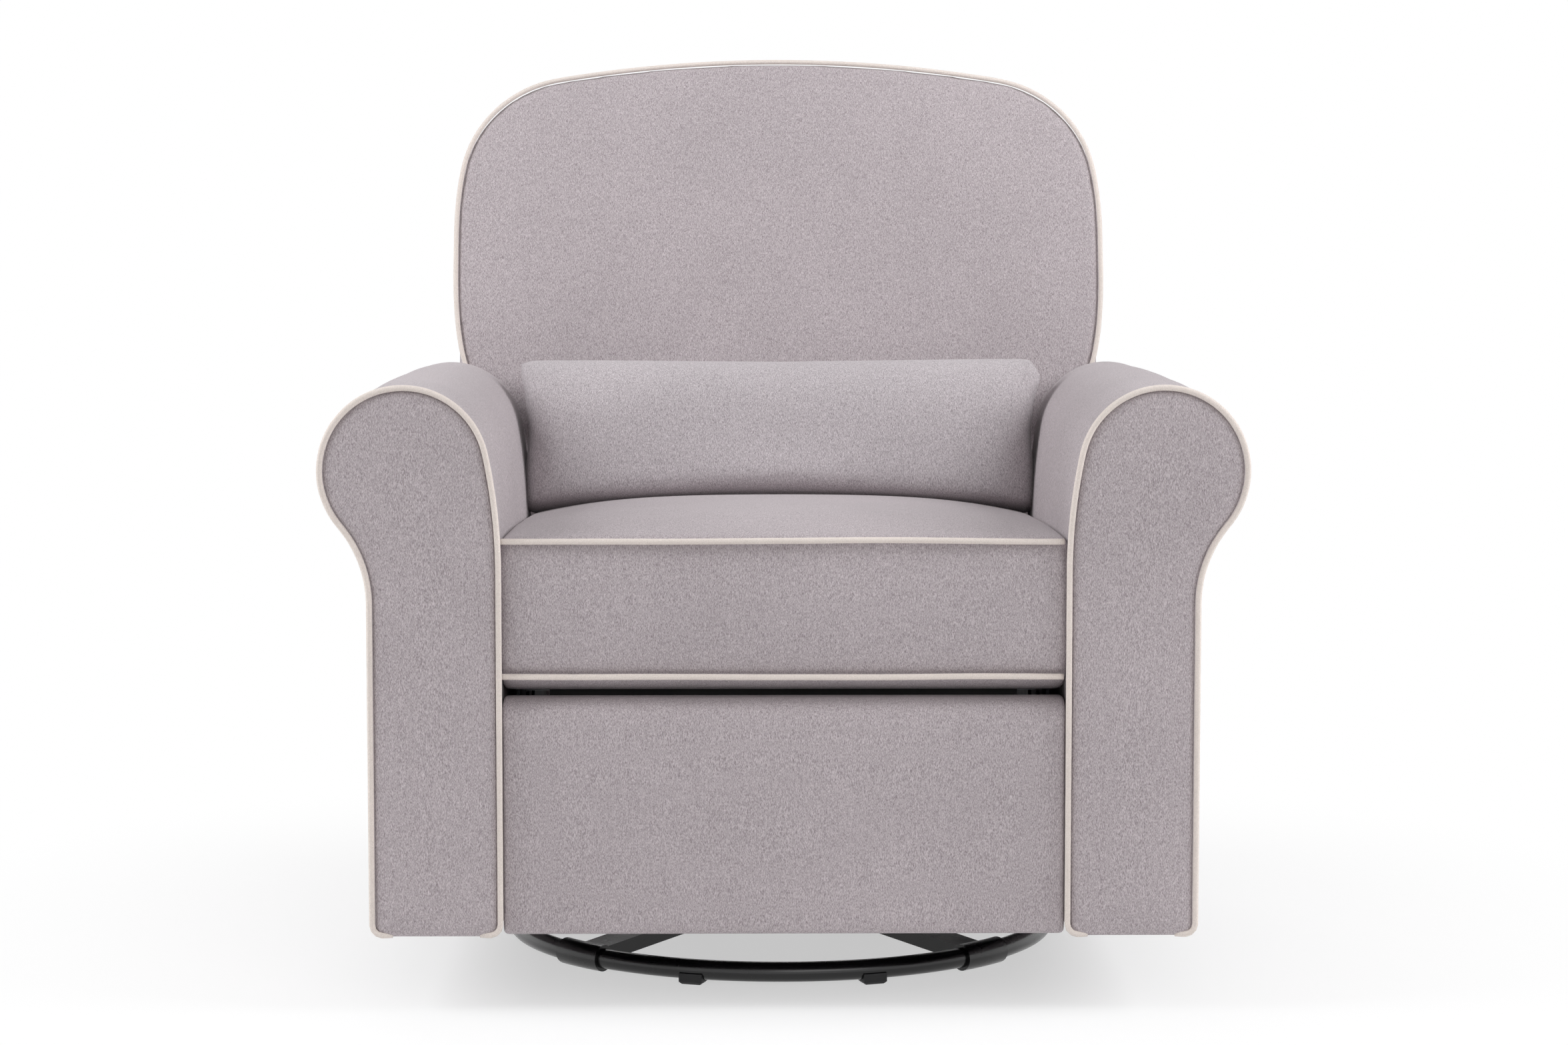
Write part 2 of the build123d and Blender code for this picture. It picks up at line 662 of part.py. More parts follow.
with BuildPart() as right_arm_frame:
    rib_in = ARM_WALL + SKIN
    for rib_y in (ARM_FRONT + rib_in, (ARM_FRONT + BACK_Y) / 2 - BOARD_T, BACK_Y - 2 * ARM_WALL - BOARD_T):
        with BuildSketch(Plane.XZ.offset(-rib_y)):
            add(arm_face(rib_in, ARM_LOW))
        extrude(amount=-BOARD_T)
    rail_x = (ARM_IN + ARM_OUT) / 2
    rail_len = BACK_Y - 2 * ARM_WALL - ARM_FRONT - rib_in - 1
    for beam_x, beam_z in ((rail_x, ARM_LOW), (ROLL_X, ROLL_Z - 12)):
        with Locations((beam_x, ARM_FRONT + rib_in, beam_z)):
            Box(BOARD_T * 2, rail_len, 45, align=(Align.CENTER, Align.MIN, Align.MIN))
    with Locations((rail_x, BACK_Y - 2 * ARM_WALL - BOARD_T, ARM_LOW)):
        tail_len = ARM_TAIL - BACK_Y + ARM_WALL
        Box(BOARD_T * 2, tail_len, 90, align=(Align.CENTER, Align.MIN, Align.MIN))
save(right_arm_frame, "right_arm_frame")

with BuildPart() as left_arm_frame:
    add(right_arm_frame.part.mirror(Plane.YZ))
save(left_arm_frame, "left_arm_frame")

with BuildPart() as right_arm_welt:
    welt_plane = Plane.XZ.offset(-ARM_FRONT - WELT_INSET)
    welt_path = welt_plane.from_local_coords(arm_curve(WELT_INSET, ARM_LOW + WELT_INSET))
    with BuildSketch(Plane(origin=welt_path @ 0, z_dir=welt_path % 0)):
        Circle(WELT_R)
    sweep(path=welt_path)
save(right_arm_welt, "right_arm_welt")

with BuildPart() as left_arm_welt:
    add(right_arm_welt.part.mirror(Plane.YZ))
save(left_arm_welt, "left_arm_welt")

# Seat
with BuildPart() as seat_frame:
    rail_y = (SEAT_RAIL_FRONT + SEAT_RAIL_REAR) / 2
    low_z = SEAT_BED - FIT - RAIL_H
    with BuildSketch(Plane.XY.offset(low_z)):
        with Locations((0, rail_y)):
            Rectangle(2 * (RAIL_IN + RAIL_W), SEAT_RAIL_REAR - SEAT_RAIL_FRONT)
            Rectangle(
                2 * RAIL_IN,
                SEAT_RAIL_REAR - SEAT_RAIL_FRONT - 2 * RAIL_W,
                mode=Mode.SUBTRACT,
            )
    extrude(amount=RAIL_H)
    for rod in (ROD_FRONT, ROD_REAR):
        pin(rod, ROD_Z, -SIDE_X, SIDE_X, ROD_R + FIT, Mode.SUBTRACT)
save(seat_frame, "seat_frame")

with BuildPart() as seat_rods:
    for rod in (ROD_FRONT, ROD_REAR):
        pin(rod, ROD_Z, -SIDE_X, SIDE_X, ROD_R)
save(seat_rods, "seat_rods")

with BuildPart() as seat_springs:
    first = SEAT_RAIL_FRONT + RAIL_W
    pitch = (SEAT_RAIL_REAR - SEAT_RAIL_FRONT - 2 * RAIL_W) / (SPRING_TURNS + 1)
    wire_z = SEAT_BED - FIT - WIRE_R - 1
    for strand in SPRING_XS:
        turns = [(strand, first + FIT), (strand, first + 10)]
        for step in range(SPRING_TURNS):
            swing = SPRING_HALF if step % 2 else -SPRING_HALF
            turns += [(strand + swing, first + pitch * (step + 0.75)), (strand + swing, first + pitch * (step + 1.25))]
        last = first + pitch * (SPRING_TURNS + 1)
        turns += [(strand, last - 10), (strand, last - FIT)]
        with BuildLine(Plane.XY.offset(wire_z)) as wire_line:
            FilletPolyline(*turns, radius=8)
        spring_path = Wire(wire_line.edges())
        with BuildSketch(Plane(origin=spring_path @ 0, z_dir=spring_path % 0)):
            Circle(WIRE_R)
        sweep(path=spring_path)
save(seat_springs, "seat_springs")

with BuildPart() as seat_cushion:
    seat_rear = BACK_Y + 20
    seat_reach = 2 * (seat_rear - SEAT_FRONT)
    for along, fall, share in (
        (0.0, 0.0, 0.35),
        (0.12, 0.02, 0.8),
        (0.36, 0.15, 1.1),
        (0.6, 0.42, 1.1),
        (0.8, 0.7, 1.0),
        (1.0, 1.0, 0.8),
    ):
        station = SEAT_FRONT + (seat_rear - SEAT_FRONT) * along
        edge_z = SEAT_EDGE - SEAT_FALL * fall
        with BuildSketch(Plane.XZ.offset(-station)):
            with BuildLine():
                Line((-SEAT_HALF, SEAT_BED), (SEAT_HALF, SEAT_BED))
                Line((SEAT_HALF, SEAT_BED), (SEAT_HALF, edge_z))
                ThreePointArc(
                    (SEAT_HALF, edge_z),
                    (0, edge_z + SEAT_CROWN * share),
                    (-SEAT_HALF, edge_z),
                )
                Line((-SEAT_HALF, edge_z), (-SEAT_HALF, SEAT_BED))
            make_face()
    loft()
    split(bisect_by=BACK_PLANE.offset(SEAT_BACK_GAP + BACK_CROWN), keep=Keep.TOP)
    with BuildSketch(Plane.XY.offset(SEAT_BED - 1)):
        with Locations((0, SEAT_FRONT)):
            RectangleRounded(2 * SEAT_HALF, seat_reach, SEAT_CORNER, align=(Align.CENTER, Align.MIN))
    extrude(amount=SEAT_EDGE, mode=Mode.INTERSECT)
save(seat_cushion, "seat_cushion")

with BuildPart() as seat_welts:
    gap = WELT_R + FIT
    returns = SEAT_FRONT + 60
    for level in (SEAT_WELT_LOW, SEAT_EDGE - WELT_R):
        with BuildLine(Plane.XY.offset(level)) as seat_line:
            FilletPolyline(
                (-SEAT_HALF - gap, returns),
                (-SEAT_HALF - gap, SEAT_FRONT - gap),
                (SEAT_HALF + gap, SEAT_FRONT - gap),
                (SEAT_HALF + gap, returns),
                radius=SEAT_CORNER + gap,
            )
        seat_path = Wire(seat_line.edges())
        with BuildSketch(Plane(origin=seat_path @ 0, z_dir=seat_path % 0)):
            Circle(WELT_R)
        sweep(path=seat_path)
save(seat_welts, "seat_welts")

# Back
with BuildPart() as back_cushion:
    with BuildSketch(BACK_PLANE.offset(-PAD_T)):
        add(back_wide(0))
    extrude(amount=PAD_T)
    for height, inset in ((0, 0), (0.62 * BACK_CROWN, 24), (BACK_CROWN, 84)):
        with BuildSketch(BACK_PLANE.offset(height)):
            add(back_front(inset))
    loft()
save(back_cushion, "back_cushion")

with BuildPart() as back_shell:
    with BuildSketch(BACK_PLANE.offset(-PAD_T - FIT)):
        add(back_wide(0))
    extrude(amount=-SHELL_T)
    for height, inset in ((0, 0), (0.6 * BACK_BULGE, 24), (BACK_BULGE, 80)):
        with BuildSketch(BACK_PLANE.offset(-PAD_T - FIT - SHELL_T - height)):
            add(back_wide(inset))
    loft()
    with BuildSketch(BACK_PLANE.offset(-PAD_T - FIT)):
        add(back_wide(SHELL_WALL))
    extrude(amount=SHELL_WALL - SHELL_T, mode=Mode.SUBTRACT)
save(back_shell, "back_shell")

with BuildPart() as back_frame:
    frame_low = BACK_LOW + SHELL_WALL + SKIN
    frame_top = BACK_TOP - 60
    with BuildSketch(BACK_PLANE.offset(-PAD_T - 2 * FIT)):
        with Locations((0, (frame_low + frame_top) / 2)):
            Rectangle(2 * (STILE_X + STILE_W), frame_top - frame_low)
        for low, top in ((frame_low + 60, 190.0), (240.0, frame_top - 60)):
            with Locations((0, (low + top) / 2)):
                Rectangle(2 * STILE_X, top - low, mode=Mode.SUBTRACT)
    extrude(amount=-STILE_T)
save(back_frame, "back_frame")

with BuildPart() as back_welt:
    gap = WELT_R + FIT
    with BuildLine() as crest_line:
        Line((BACK_HALF + gap, NOTCH_TOP + 96), (BACK_HALF + gap, BACK_SHOULDER))
        add(crest(-gap))
        Line((-BACK_HALF - gap, BACK_SHOULDER), (-BACK_HALF - gap, NOTCH_TOP + 96))
    crest_path = BACK_PLANE.offset(-WELT_R).from_local_coords(Wire(crest_line.edges()))
    with BuildSketch(Plane(origin=crest_path @ 0, z_dir=crest_path % 0)):
        Circle(WELT_R)
    sweep(path=crest_path)
save(back_welt, "back_welt")

with BuildPart() as hinge_arms:
    upper = BACK_PLANE.from_local_coords((0, BACK_WING - 40, -PAD_T - 30))
    bar((HINGE_Y, HINGE_Z), (upper.Y, upper.Z), 32, HINGE_ARM_X, HINGE_ARM_T)
    pin(HINGE_Y, HINGE_Z, HINGE_ARM_X, ARM_IN - SKIN, HINGE_R)
    mirror(about=Plane.YZ)
save(hinge_arms, "hinge_arms")

with BuildPart() as hinge_plates:
    with BuildSketch(side_plane(ARM_IN - HINGE_PLATE_T)):
        with Locations((HINGE_Y, HINGE_Z - 12)):
            RectangleRounded(64, 80, 14)
        with Locations((HINGE_Y, HINGE_Z)):
            Circle(HINGE_R + RUN, mode=Mode.SUBTRACT)
    extrude(amount=HINGE_PLATE_T)
    mirror(about=Plane.YZ)
save(hinge_plates, "hinge_plates")

with BuildPart() as lumbar_pillow:
    for along, crest_share, foot_share, thick in (
        (-1.0, 0.9, 1.14, 0.07),
        (-0.9, 0.97, 1.1, 0.5),
        (-0.6, 1.0, 1.04, 0.92),
        (0.0, 0.99, 0.98, 1.0),
        (0.6, 1.0, 1.04, 0.92),
        (0.9, 0.97, 1.1, 0.5),
        (1.0, 0.9, 1.14, 0.07),
    ):
        section = Plane(
            origin=(PILLOW_HALF * along, PILLOW_Y, PILLOW_Z),
            x_dir=(0, cos(radians(LEAN)), -sin(radians(LEAN))),
            z_dir=(1, 0, 0),
        )
        with BuildSketch(section):
            with BuildLine():
                high = (0, PILLOW_H / 2 * crest_share)
                low = (0, -PILLOW_H / 2 * foot_share)
                middle = (high[1] + low[1]) / 2
                ThreePointArc(low, (PILLOW_T / 2 * thick, middle), high)
                ThreePointArc(high, (-PILLOW_T / 2 * thick, middle), low)
            make_face()
    loft()
save(lumbar_pillow, "lumbar_pillow")

# Footrest panel
with BuildPart() as footrest_pad:
    pad_mid = (FOOTREST_LOW + FOOTREST_TOP) / 2
    pad_h = FOOTREST_TOP - FOOTREST_LOW
    for depth, inset in ((0.0, 0.0), (0.55, 0.0), (0.86, 4.0), (0.96, 12.0), (1.0, 30.0)):
        pad_y = FOOTREST_REAR + (FOOTREST_FRONT - FOOTREST_REAR) * depth
        with BuildSketch(Plane.XZ.offset(-pad_y)):
            with Locations((0, pad_mid)):
                RectangleRounded(2 * (FOOTREST_HALF - inset), pad_h - 2 * inset, 16)
    loft()
    with Locations((0, FOOTREST_REAR, pad_mid)):
        Box(
            2 * (FOOTREST_HALF - PANEL_MARGIN),
            PANEL_T,
            pad_h - 2 * PANEL_MARGIN,
            align=(Align.CENTER, Align.MAX, Align.CENTER),
            mode=Mode.SUBTRACT,
        )
save(footrest_pad, "footrest_pad")

with BuildPart() as footrest_board:
    with Locations((0, FOOTREST_REAR, pad_mid)):
        Box(
            2 * (FOOTREST_HALF - PANEL_MARGIN - FIT),
            PANEL_T - FIT,
            pad_h - 2 * (PANEL_MARGIN + FIT),
            align=(Align.CENTER, Align.MAX, Align.CENTER),
        )
save(footrest_board, "footrest_board")

# Footrest tongs
OUT_X = FALL_X + TONG_T
LINK_IN = RISE_X
LINK_OUT = RISE_X + TONG_T


def tong_pair(start: str, end: str, x0: float, rivets: list, holes: list) -> None:
    """Pair of tong links with their own rivets and the holes for their neighbours' rivets."""
    bar(TONG[start], TONG[end], TONG_W, x0, TONG_T)
    for name in holes:
        pin(*TONG[name], x0 - 1, x0 + TONG_T + 1, RIVET_R + RUN, Mode.SUBTRACT)
    for name in rivets:
        rivet(TONG[name], LINK_IN, OUT_X)
    mirror(about=Plane.YZ)


with BuildPart() as tong_a:
    tong_pair("ground", "low1", FALL_X, ["cross", "low1"], [])
    pin(*TONG["ground"], FALL_X, SIDE_X + SIDE_T + HEAD_T, RIVET_R)
    pin(*TONG["ground"], SIDE_X + SIDE_T + FIT, SIDE_X + SIDE_T + HEAD_T, RIVET_HEAD)
    mirror(about=Plane.YZ)
save(tong_a, "tong_a")

with BuildPart() as tong_tube:
    pin(*TONG["low1"], -(LINK_IN - HEAD_T - FIT), LINK_IN - HEAD_T - FIT, 8)
    pin(*TONG["low1"], -LINK_IN, LINK_IN, 6.5, Mode.SUBTRACT)
save(tong_tube, "tong_tube")

with BuildPart() as tong_b:
    tong_pair("slot", "high1", RISE_X, ["high1"], ["cross"])
    pin(*TONG["slot"], RISE_X, SIDE_X + SIDE_T + HEAD_T, RIVET_R)
    pin(*TONG["slot"], SIDE_X + SIDE_T + FIT, SIDE_X + SIDE_T + HEAD_T, RIVET_HEAD)
    mirror(about=Plane.YZ)
save(tong_b, "tong_b")

with BuildPart() as tong_c:
    tong_pair("low1", "high2", RISE_X, ["middle", "high2"], ["low1"])
save(tong_c, "tong_c")

with BuildPart() as tong_d:
    tong_pair("high1", "low2", FALL_X, ["low2"], ["high1", "middle"])
save(tong_d, "tong_d")

with BuildPart() as tong_f:
    tong_pair("low2", "bracket", RISE_X, [], ["low2", "bracket"])
save(tong_f, "tong_f")

with BuildPart() as footrest_brackets:
    bar(TONG["high2"], TONG["bracket"], TONG_W, FALL_X, TONG_T)
    web_low = TONG["bracket"][1]
    web_top = TONG["high2"][1] + 6
    web_y = TONG["bracket"][0] + 4
    with BuildSketch(side_plane(FALL_X)):
        with Locations(((FOOTREST_REAR + web_y) / 2, (web_low + web_top) / 2)):
            Rectangle(web_y - FOOTREST_REAR, web_top - web_low)
    extrude(amount=TONG_T)
    with Locations((FALL_X + TONG_T, FOOTREST_REAR, (web_low + web_top) / 2)):
        Box(38, TONG_T, web_top - web_low, align=(Align.MAX, Align.MIN, Align.CENTER))
    pin(*TONG["high2"], FALL_X - 1, OUT_X + 1, RIVET_R + RUN, Mode.SUBTRACT)
    rivet(TONG["bracket"], LINK_IN, OUT_X)
    mirror(about=Plane.YZ)
save(footrest_brackets, "footrest_brackets")
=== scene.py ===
"""Looks of the swivel glider recliner: soft covers, piping and finishes around the fixed frame.

Metres, Z up, the chair faces -Y, floor at Z 0.
"""

import logging
import math
from dataclasses import dataclass
from enum import Enum
from typing import Callable, Sequence

import bmesh
import bpy
import numpy as np
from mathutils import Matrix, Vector, noise


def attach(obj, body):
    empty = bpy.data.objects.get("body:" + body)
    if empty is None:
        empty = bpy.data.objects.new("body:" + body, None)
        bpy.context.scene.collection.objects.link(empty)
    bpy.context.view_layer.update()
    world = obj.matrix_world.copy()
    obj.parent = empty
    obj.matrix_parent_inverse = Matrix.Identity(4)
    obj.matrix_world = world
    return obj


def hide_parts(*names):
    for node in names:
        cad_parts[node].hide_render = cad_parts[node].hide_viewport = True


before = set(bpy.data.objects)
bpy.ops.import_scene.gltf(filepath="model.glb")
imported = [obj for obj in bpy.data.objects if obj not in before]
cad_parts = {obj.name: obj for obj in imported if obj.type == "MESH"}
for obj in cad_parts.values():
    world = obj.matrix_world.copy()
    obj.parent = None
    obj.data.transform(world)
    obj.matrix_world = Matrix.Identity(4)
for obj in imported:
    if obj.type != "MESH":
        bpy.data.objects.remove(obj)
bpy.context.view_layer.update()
LOG = logging.getLogger("glider")

MM = 0.001
WELT_STEP = 5 * MM
WELT_SIDES = 12

Ring = list[Vector]
Point2 = tuple[float, float]
Steps = Sequence[tuple[float, ...]]
Colour = tuple[float, float, float, float]
Socket = bpy.types.NodeSocket
Sockets = bpy.types.bpy_prop_collection


class Slot(Enum):
    """Material slots of the record, passed along with the new pieces but not applied to them."""

    FABRIC = "grey_fabric"
    WELT = "cream_welt"


class Side(Enum):
    """The two sides of the chair, by the sign of X."""

    RIGHT = 1
    LEFT = -1


def set_sockets(sockets: Sockets, values: dict) -> None:
    """Give a node's inputs their constant values.

    Args:
        sockets: the node's inputs.
        values: constants by socket name.
    """
    for name, value in values.items():
        sockets[name].default_value = value


class Nodes:
    """Adds nodes to a shader tree and joins them."""

    def __init__(self, tree: bpy.types.NodeTree) -> None:
        """Keep the tree.

        Args:
            tree: the material's or group's node tree.
        """
        self.tree = tree

    def add(self, kind: str, values: dict | None = None, **settings: object) -> bpy.types.Node:
        """Add one node.

        Args:
            kind: Blender's node type.
            values: constants of the node's inputs, by socket name.
            settings: the node's own attributes.

        Returns:
            The new node.
        """
        made = self.tree.nodes.new(kind)
        for name, value in settings.items():
            setattr(made, name, value)
        set_sockets(made.inputs, values or {})
        return made

    def join(self, source: Socket, target: Socket) -> None:
        """Link an output to an input.

        Args:
            source: the output.
            target: the input.
        """
        self.tree.links.new(source, target)

    def feed(self, value: Socket | float, target: Socket) -> None:
        """Link an input to a socket, or give it a constant.

        Args:
            value: an output or a number.
            target: the input.
        """
        if isinstance(value, Socket):
            self.join(value, target)
        else:
            target.default_value = value

    def math(
        self, operation: str, first: Socket | float, second: Socket | float, clamp: bool = False
    ) -> Socket:
        """Add a math node.

        Args:
            operation: the math node's operation.
            first: a socket or a number.
            second: a socket or a number.
            clamp: keep the result between 0 and 1.

        Returns:
            The result.
        """
        made = self.add("ShaderNodeMath", operation=operation, use_clamp=clamp)
        self.feed(first, made.inputs[0])
        self.feed(second, made.inputs[1])
        return made.outputs[0]

    def noise(
        self, vector: Socket, scale: Socket | float, detail: float, roughness: float = 0.5
    ) -> Socket:
        """Add a noise texture.

        Args:
            vector: the coordinates.
            scale: a socket or a number.
            detail: number of finer layers.
            roughness: strength of the finer layers.

        Returns:
            The noise's value.
        """
        made = self.add("ShaderNodeTexNoise", {"Detail": detail, "Roughness": roughness})
        self.join(vector, made.inputs["Vector"])
        self.feed(scale, made.inputs["Scale"])
        return made.outputs[0]

    def mix(self, first: Colour, second: Colour, factor: Socket) -> Socket:
        """Blend two colours.

        Args:
            first: colour at factor 0.
            second: colour at factor 1.
            factor: share of the second.

        Returns:
            The blended colour.
        """
        made = self.add("ShaderNodeMix", {"A": first, "B": second}, data_type="RGBA")
        self.join(factor, made.inputs["Factor"])
        return made.outputs["Result"]

    def bump(self, height: Socket, strength: float, distance: float) -> Socket:
        """Turn a height into a normal.

        Args:
            height: the height's value.
            strength: share of the effect.
            distance: height of the bumps in metres.

        Returns:
            The normal.
        """
        made = self.add("ShaderNodeBump", {"Strength": strength, "Distance": distance})
        self.join(height, made.inputs["Height"])
        return made.outputs["Normal"]

    def group(self, tree: bpy.types.NodeTree, values: dict) -> Sockets:
        """Place a shared group on the object's own coordinates.

        Args:
            tree: the group.
            values: the group's constants by name.

        Returns:
            The group's outputs.
        """
        where = self.add("ShaderNodeTexCoord")
        made = self.add("ShaderNodeGroup", node_tree=tree)
        self.join(where.outputs["Object"], made.inputs["Vector"])
        set_sockets(made.inputs, values)
        return made.outputs


class Effects:
    """Shader node groups that several finishes share, each made on its first use."""

    @staticmethod
    def _group(
        name: str, inputs: Sequence[str], outputs: Sequence[str], wire: Callable
    ) -> bpy.types.NodeTree:
        """Find a group or make it.

        Args:
            name: the group's name.
            inputs: names of its values, beside the vector.
            outputs: names of its results.
            wire: adds the nodes between the group's input and output sockets.

        Returns:
            The group's tree.
        """
        found = bpy.data.node_groups.get(name)
        if found:
            return found
        tree = bpy.data.node_groups.new(name, "ShaderNodeTree")
        tree.interface.new_socket("Vector", in_out="INPUT", socket_type="NodeSocketVector")
        for label in inputs:
            tree.interface.new_socket(label, in_out="INPUT", socket_type="NodeSocketFloat")
        for label in outputs:
            tree.interface.new_socket(label, in_out="OUTPUT", socket_type="NodeSocketFloat")
        n = Nodes(tree)
        wire(n, n.add("NodeGroupInput").outputs, n.add("NodeGroupOutput").inputs)
        return tree

    @classmethod
    def heather(cls) -> bpy.types.NodeTree:
        """Mottled fibres of a felted cloth, with short upright streaks.

        Returns:
            The group.
        """

        def wire(n: Nodes, given: Sockets, put: Sockets) -> None:
            """Add the group's nodes.

            Args:
                n: the group's tree.
                given: the group's inputs.
                put: the group's results.
            """
            stretch = n.add("ShaderNodeCombineXYZ", {"X": 1.0, "Y": 0.6})
            n.join(given["Streak"], stretch.inputs["Z"])
            drawn = n.add("ShaderNodeVectorMath", operation="MULTIPLY")
            n.join(given["Vector"], drawn.inputs[0])
            n.join(stretch.outputs[0], drawn.inputs[1])
            fine = n.noise(drawn.outputs[0], given["Flecks"], 2.0, 0.65)
            half = n.math("MULTIPLY", given["Flecks"], 0.5)
            coarse = n.noise(drawn.outputs[0], half, 1.0)
            mixed = n.math("ADD", n.math("MULTIPLY", fine, 0.72), n.math("MULTIPLY", coarse, 0.28))
            swing = n.math("MULTIPLY", n.math("SUBTRACT", mixed, 0.5), given["Contrast"])
            n.join(n.math("ADD", swing, 0.5, clamp=True), put["Tone"])
            n.join(mixed, put["Height"])

        inputs = ("Flecks", "Streak", "Contrast")
        return cls._group("heather_fibres", inputs, ("Tone", "Height"), wire)

    @classmethod
    def broad(cls) -> bpy.types.NodeTree:
        """Slow drift of tone over a surface, from handling and from the dye.

        Returns:
            The group.
        """

        def wire(n: Nodes, given: Sockets, put: Sockets) -> None:
            """Add the group's nodes.

            Args:
                n: the group's tree.
                given: the group's inputs.
                put: the group's results.
            """
            ranged = n.add("ShaderNodeMapRange", {"From Min": 0.3, "From Max": 0.7})
            n.join(n.noise(given["Vector"], given["Scale"], 3.0, 0.55), ranged.inputs["Value"])
            n.join(given["Low"], ranged.inputs["To Min"])
            n.join(given["High"], ranged.inputs["To Max"])
            n.join(ranged.outputs[0], put["Value"])

        return cls._group("broad_drift", ("Scale", "Low", "High"), ("Value",), wire)

    @classmethod
    def specks(cls) -> bpy.types.NodeTree:
        """Sparse small marks, such as dust, chips or pores.

        Returns:
            The group.
        """

        def wire(n: Nodes, given: Sockets, put: Sockets) -> None:
            """Add the group's nodes.

            Args:
                n: the group's tree.
                given: the group's inputs.
                put: the group's results.
            """
            cells = n.noise(given["Vector"], given["Scale"], 4.0, 0.7)
            over = n.math("SUBTRACT", cells, n.math("SUBTRACT", 0.78, given["Share"]))
            n.join(n.math("MULTIPLY", over, 9.0, clamp=True), put["Mask"])

        return cls._group("sparse_specks", ("Scale", "Share"), ("Mask",), wire)


def colour(red: int, green: int, blue: int) -> Colour:
    """Linear colour of an 8-bit display colour.

    Args:
        red: 0 to 255.
        green: 0 to 255.
        blue: 0 to 255.

    Returns:
        Red, green, blue and alpha.
    """
    linear = []
    for value in (red, green, blue):
        share = value / 255
        linear.append(share / 12.92 if share <= 0.04045 else ((share + 0.055) / 1.055) ** 2.4)
    return (*linear, 1.0)


@dataclass(frozen=True)
class Finish:
    """A procedural material, built on its first use."""

    name: str

    def material(self) -> bpy.types.Material:
        """Find the material or build it.

        Returns:
            The finish's material.
        """
        found = bpy.data.materials.get(self.name)
        if found:
            return found
        made = bpy.data.materials.new(self.name)
        made.use_nodes = True
        self.wire(Nodes(made.node_tree), made.node_tree.nodes["Principled BSDF"].inputs)
        return made

    def wire(self, n: Nodes, shader: Sockets) -> None:
        """Add the nodes that feed the shader.

        Args:
            n: the material's nodes.
            shader: the shader's inputs.
        """
        raise NotImplementedError


@dataclass(frozen=True)
class ClothFinish(Finish):
    """A woven or felted cloth with mottled fibres."""

    dark: Colour
    light: Colour
    flecks: float
    streak: float
    contrast: float
    bump: float
    sheen: float
    sheen_roughness: float = 0.45
    specular: float = 0.25
    roughness: float = 0.92

    def wire(self, n: Nodes, shader: Sockets) -> None:
        """Add the nodes that feed the shader.

        Args:
            n: the material's nodes.
            shader: the shader's inputs.
        """
        shader["Sheen Weight"].default_value = self.sheen
        shader["Sheen Roughness"].default_value = self.sheen_roughness
        shader["Specular IOR Level"].default_value = self.specular
        values = {"Flecks": self.flecks, "Streak": self.streak, "Contrast": self.contrast}
        fibres = n.group(Effects.heather(), values)
        drift = n.group(Effects.broad(), {"Scale": 7.0, "Low": 0.96, "High": 1.04})["Value"]
        tint = n.add("ShaderNodeMix", {"Factor": 1.0}, data_type="RGBA", blend_type="MULTIPLY")
        n.join(n.mix(self.dark, self.light, fibres["Tone"]), tint.inputs["A"])
        n.join(drift, tint.inputs["B"])
        n.join(tint.outputs["Result"], shader["Base Color"])
        n.join(n.math("MULTIPLY", drift, self.roughness, clamp=True), shader["Roughness"])
        n.join(n.bump(fibres["Height"], 0.6, self.bump), shader["Normal"])


@dataclass(frozen=True)
class HardFinish(Finish):
    """A painted, plated or moulded surface with dust specks and uneven gloss."""

    tone: Colour
    mark: Colour
    metallic: float
    gloss: tuple[float, float]
    speck_scale: float
    speck_share: float
    coat: float = 0.0
    coat_roughness: float = 0.18
    grain_scale: float = 900.0
    bump: float = 0.00004

    def wire(self, n: Nodes, shader: Sockets) -> None:
        """Add the nodes that feed the shader.

        Args:
            n: the material's nodes.
            shader: the shader's inputs.
        """
        shader["Metallic"].default_value = self.metallic
        shader["Coat Weight"].default_value = self.coat
        shader["Coat Roughness"].default_value = self.coat_roughness
        marks = n.group(Effects.specks(), {"Scale": self.speck_scale, "Share": self.speck_share})
        low, high = self.gloss
        gloss = n.group(Effects.broad(), {"Scale": 26.0, "Low": low, "High": high})
        n.join(n.mix(self.tone, self.mark, marks["Mask"]), shader["Base Color"])
        n.join(gloss["Value"], shader["Roughness"])
        where = n.add("ShaderNodeTexCoord")
        grain = n.noise(where.outputs["Object"], self.grain_scale, 2.0)
        n.join(n.bump(grain, 0.35, self.bump), shader["Normal"])


@dataclass(frozen=True)
class TimberFinish(Finish):
    """Sawn softwood with long grain."""

    pale: Colour
    ring: Colour

    def wire(self, n: Nodes, shader: Sockets) -> None:
        """Add the nodes that feed the shader.

        Args:
            n: the material's nodes.
            shader: the shader's inputs.
        """
        grain = n.group(Effects.heather(), {"Flecks": 160.0, "Streak": 0.12, "Contrast": 2.6})
        drift = n.group(Effects.broad(), {"Scale": 9.0, "Low": 0.62, "High": 0.8})
        n.join(n.mix(self.ring, self.pale, grain["Tone"]), shader["Base Color"])
        n.join(drift["Value"], shader["Roughness"])
        n.join(n.bump(grain["Height"], 0.3, 0.0003), shader["Normal"])


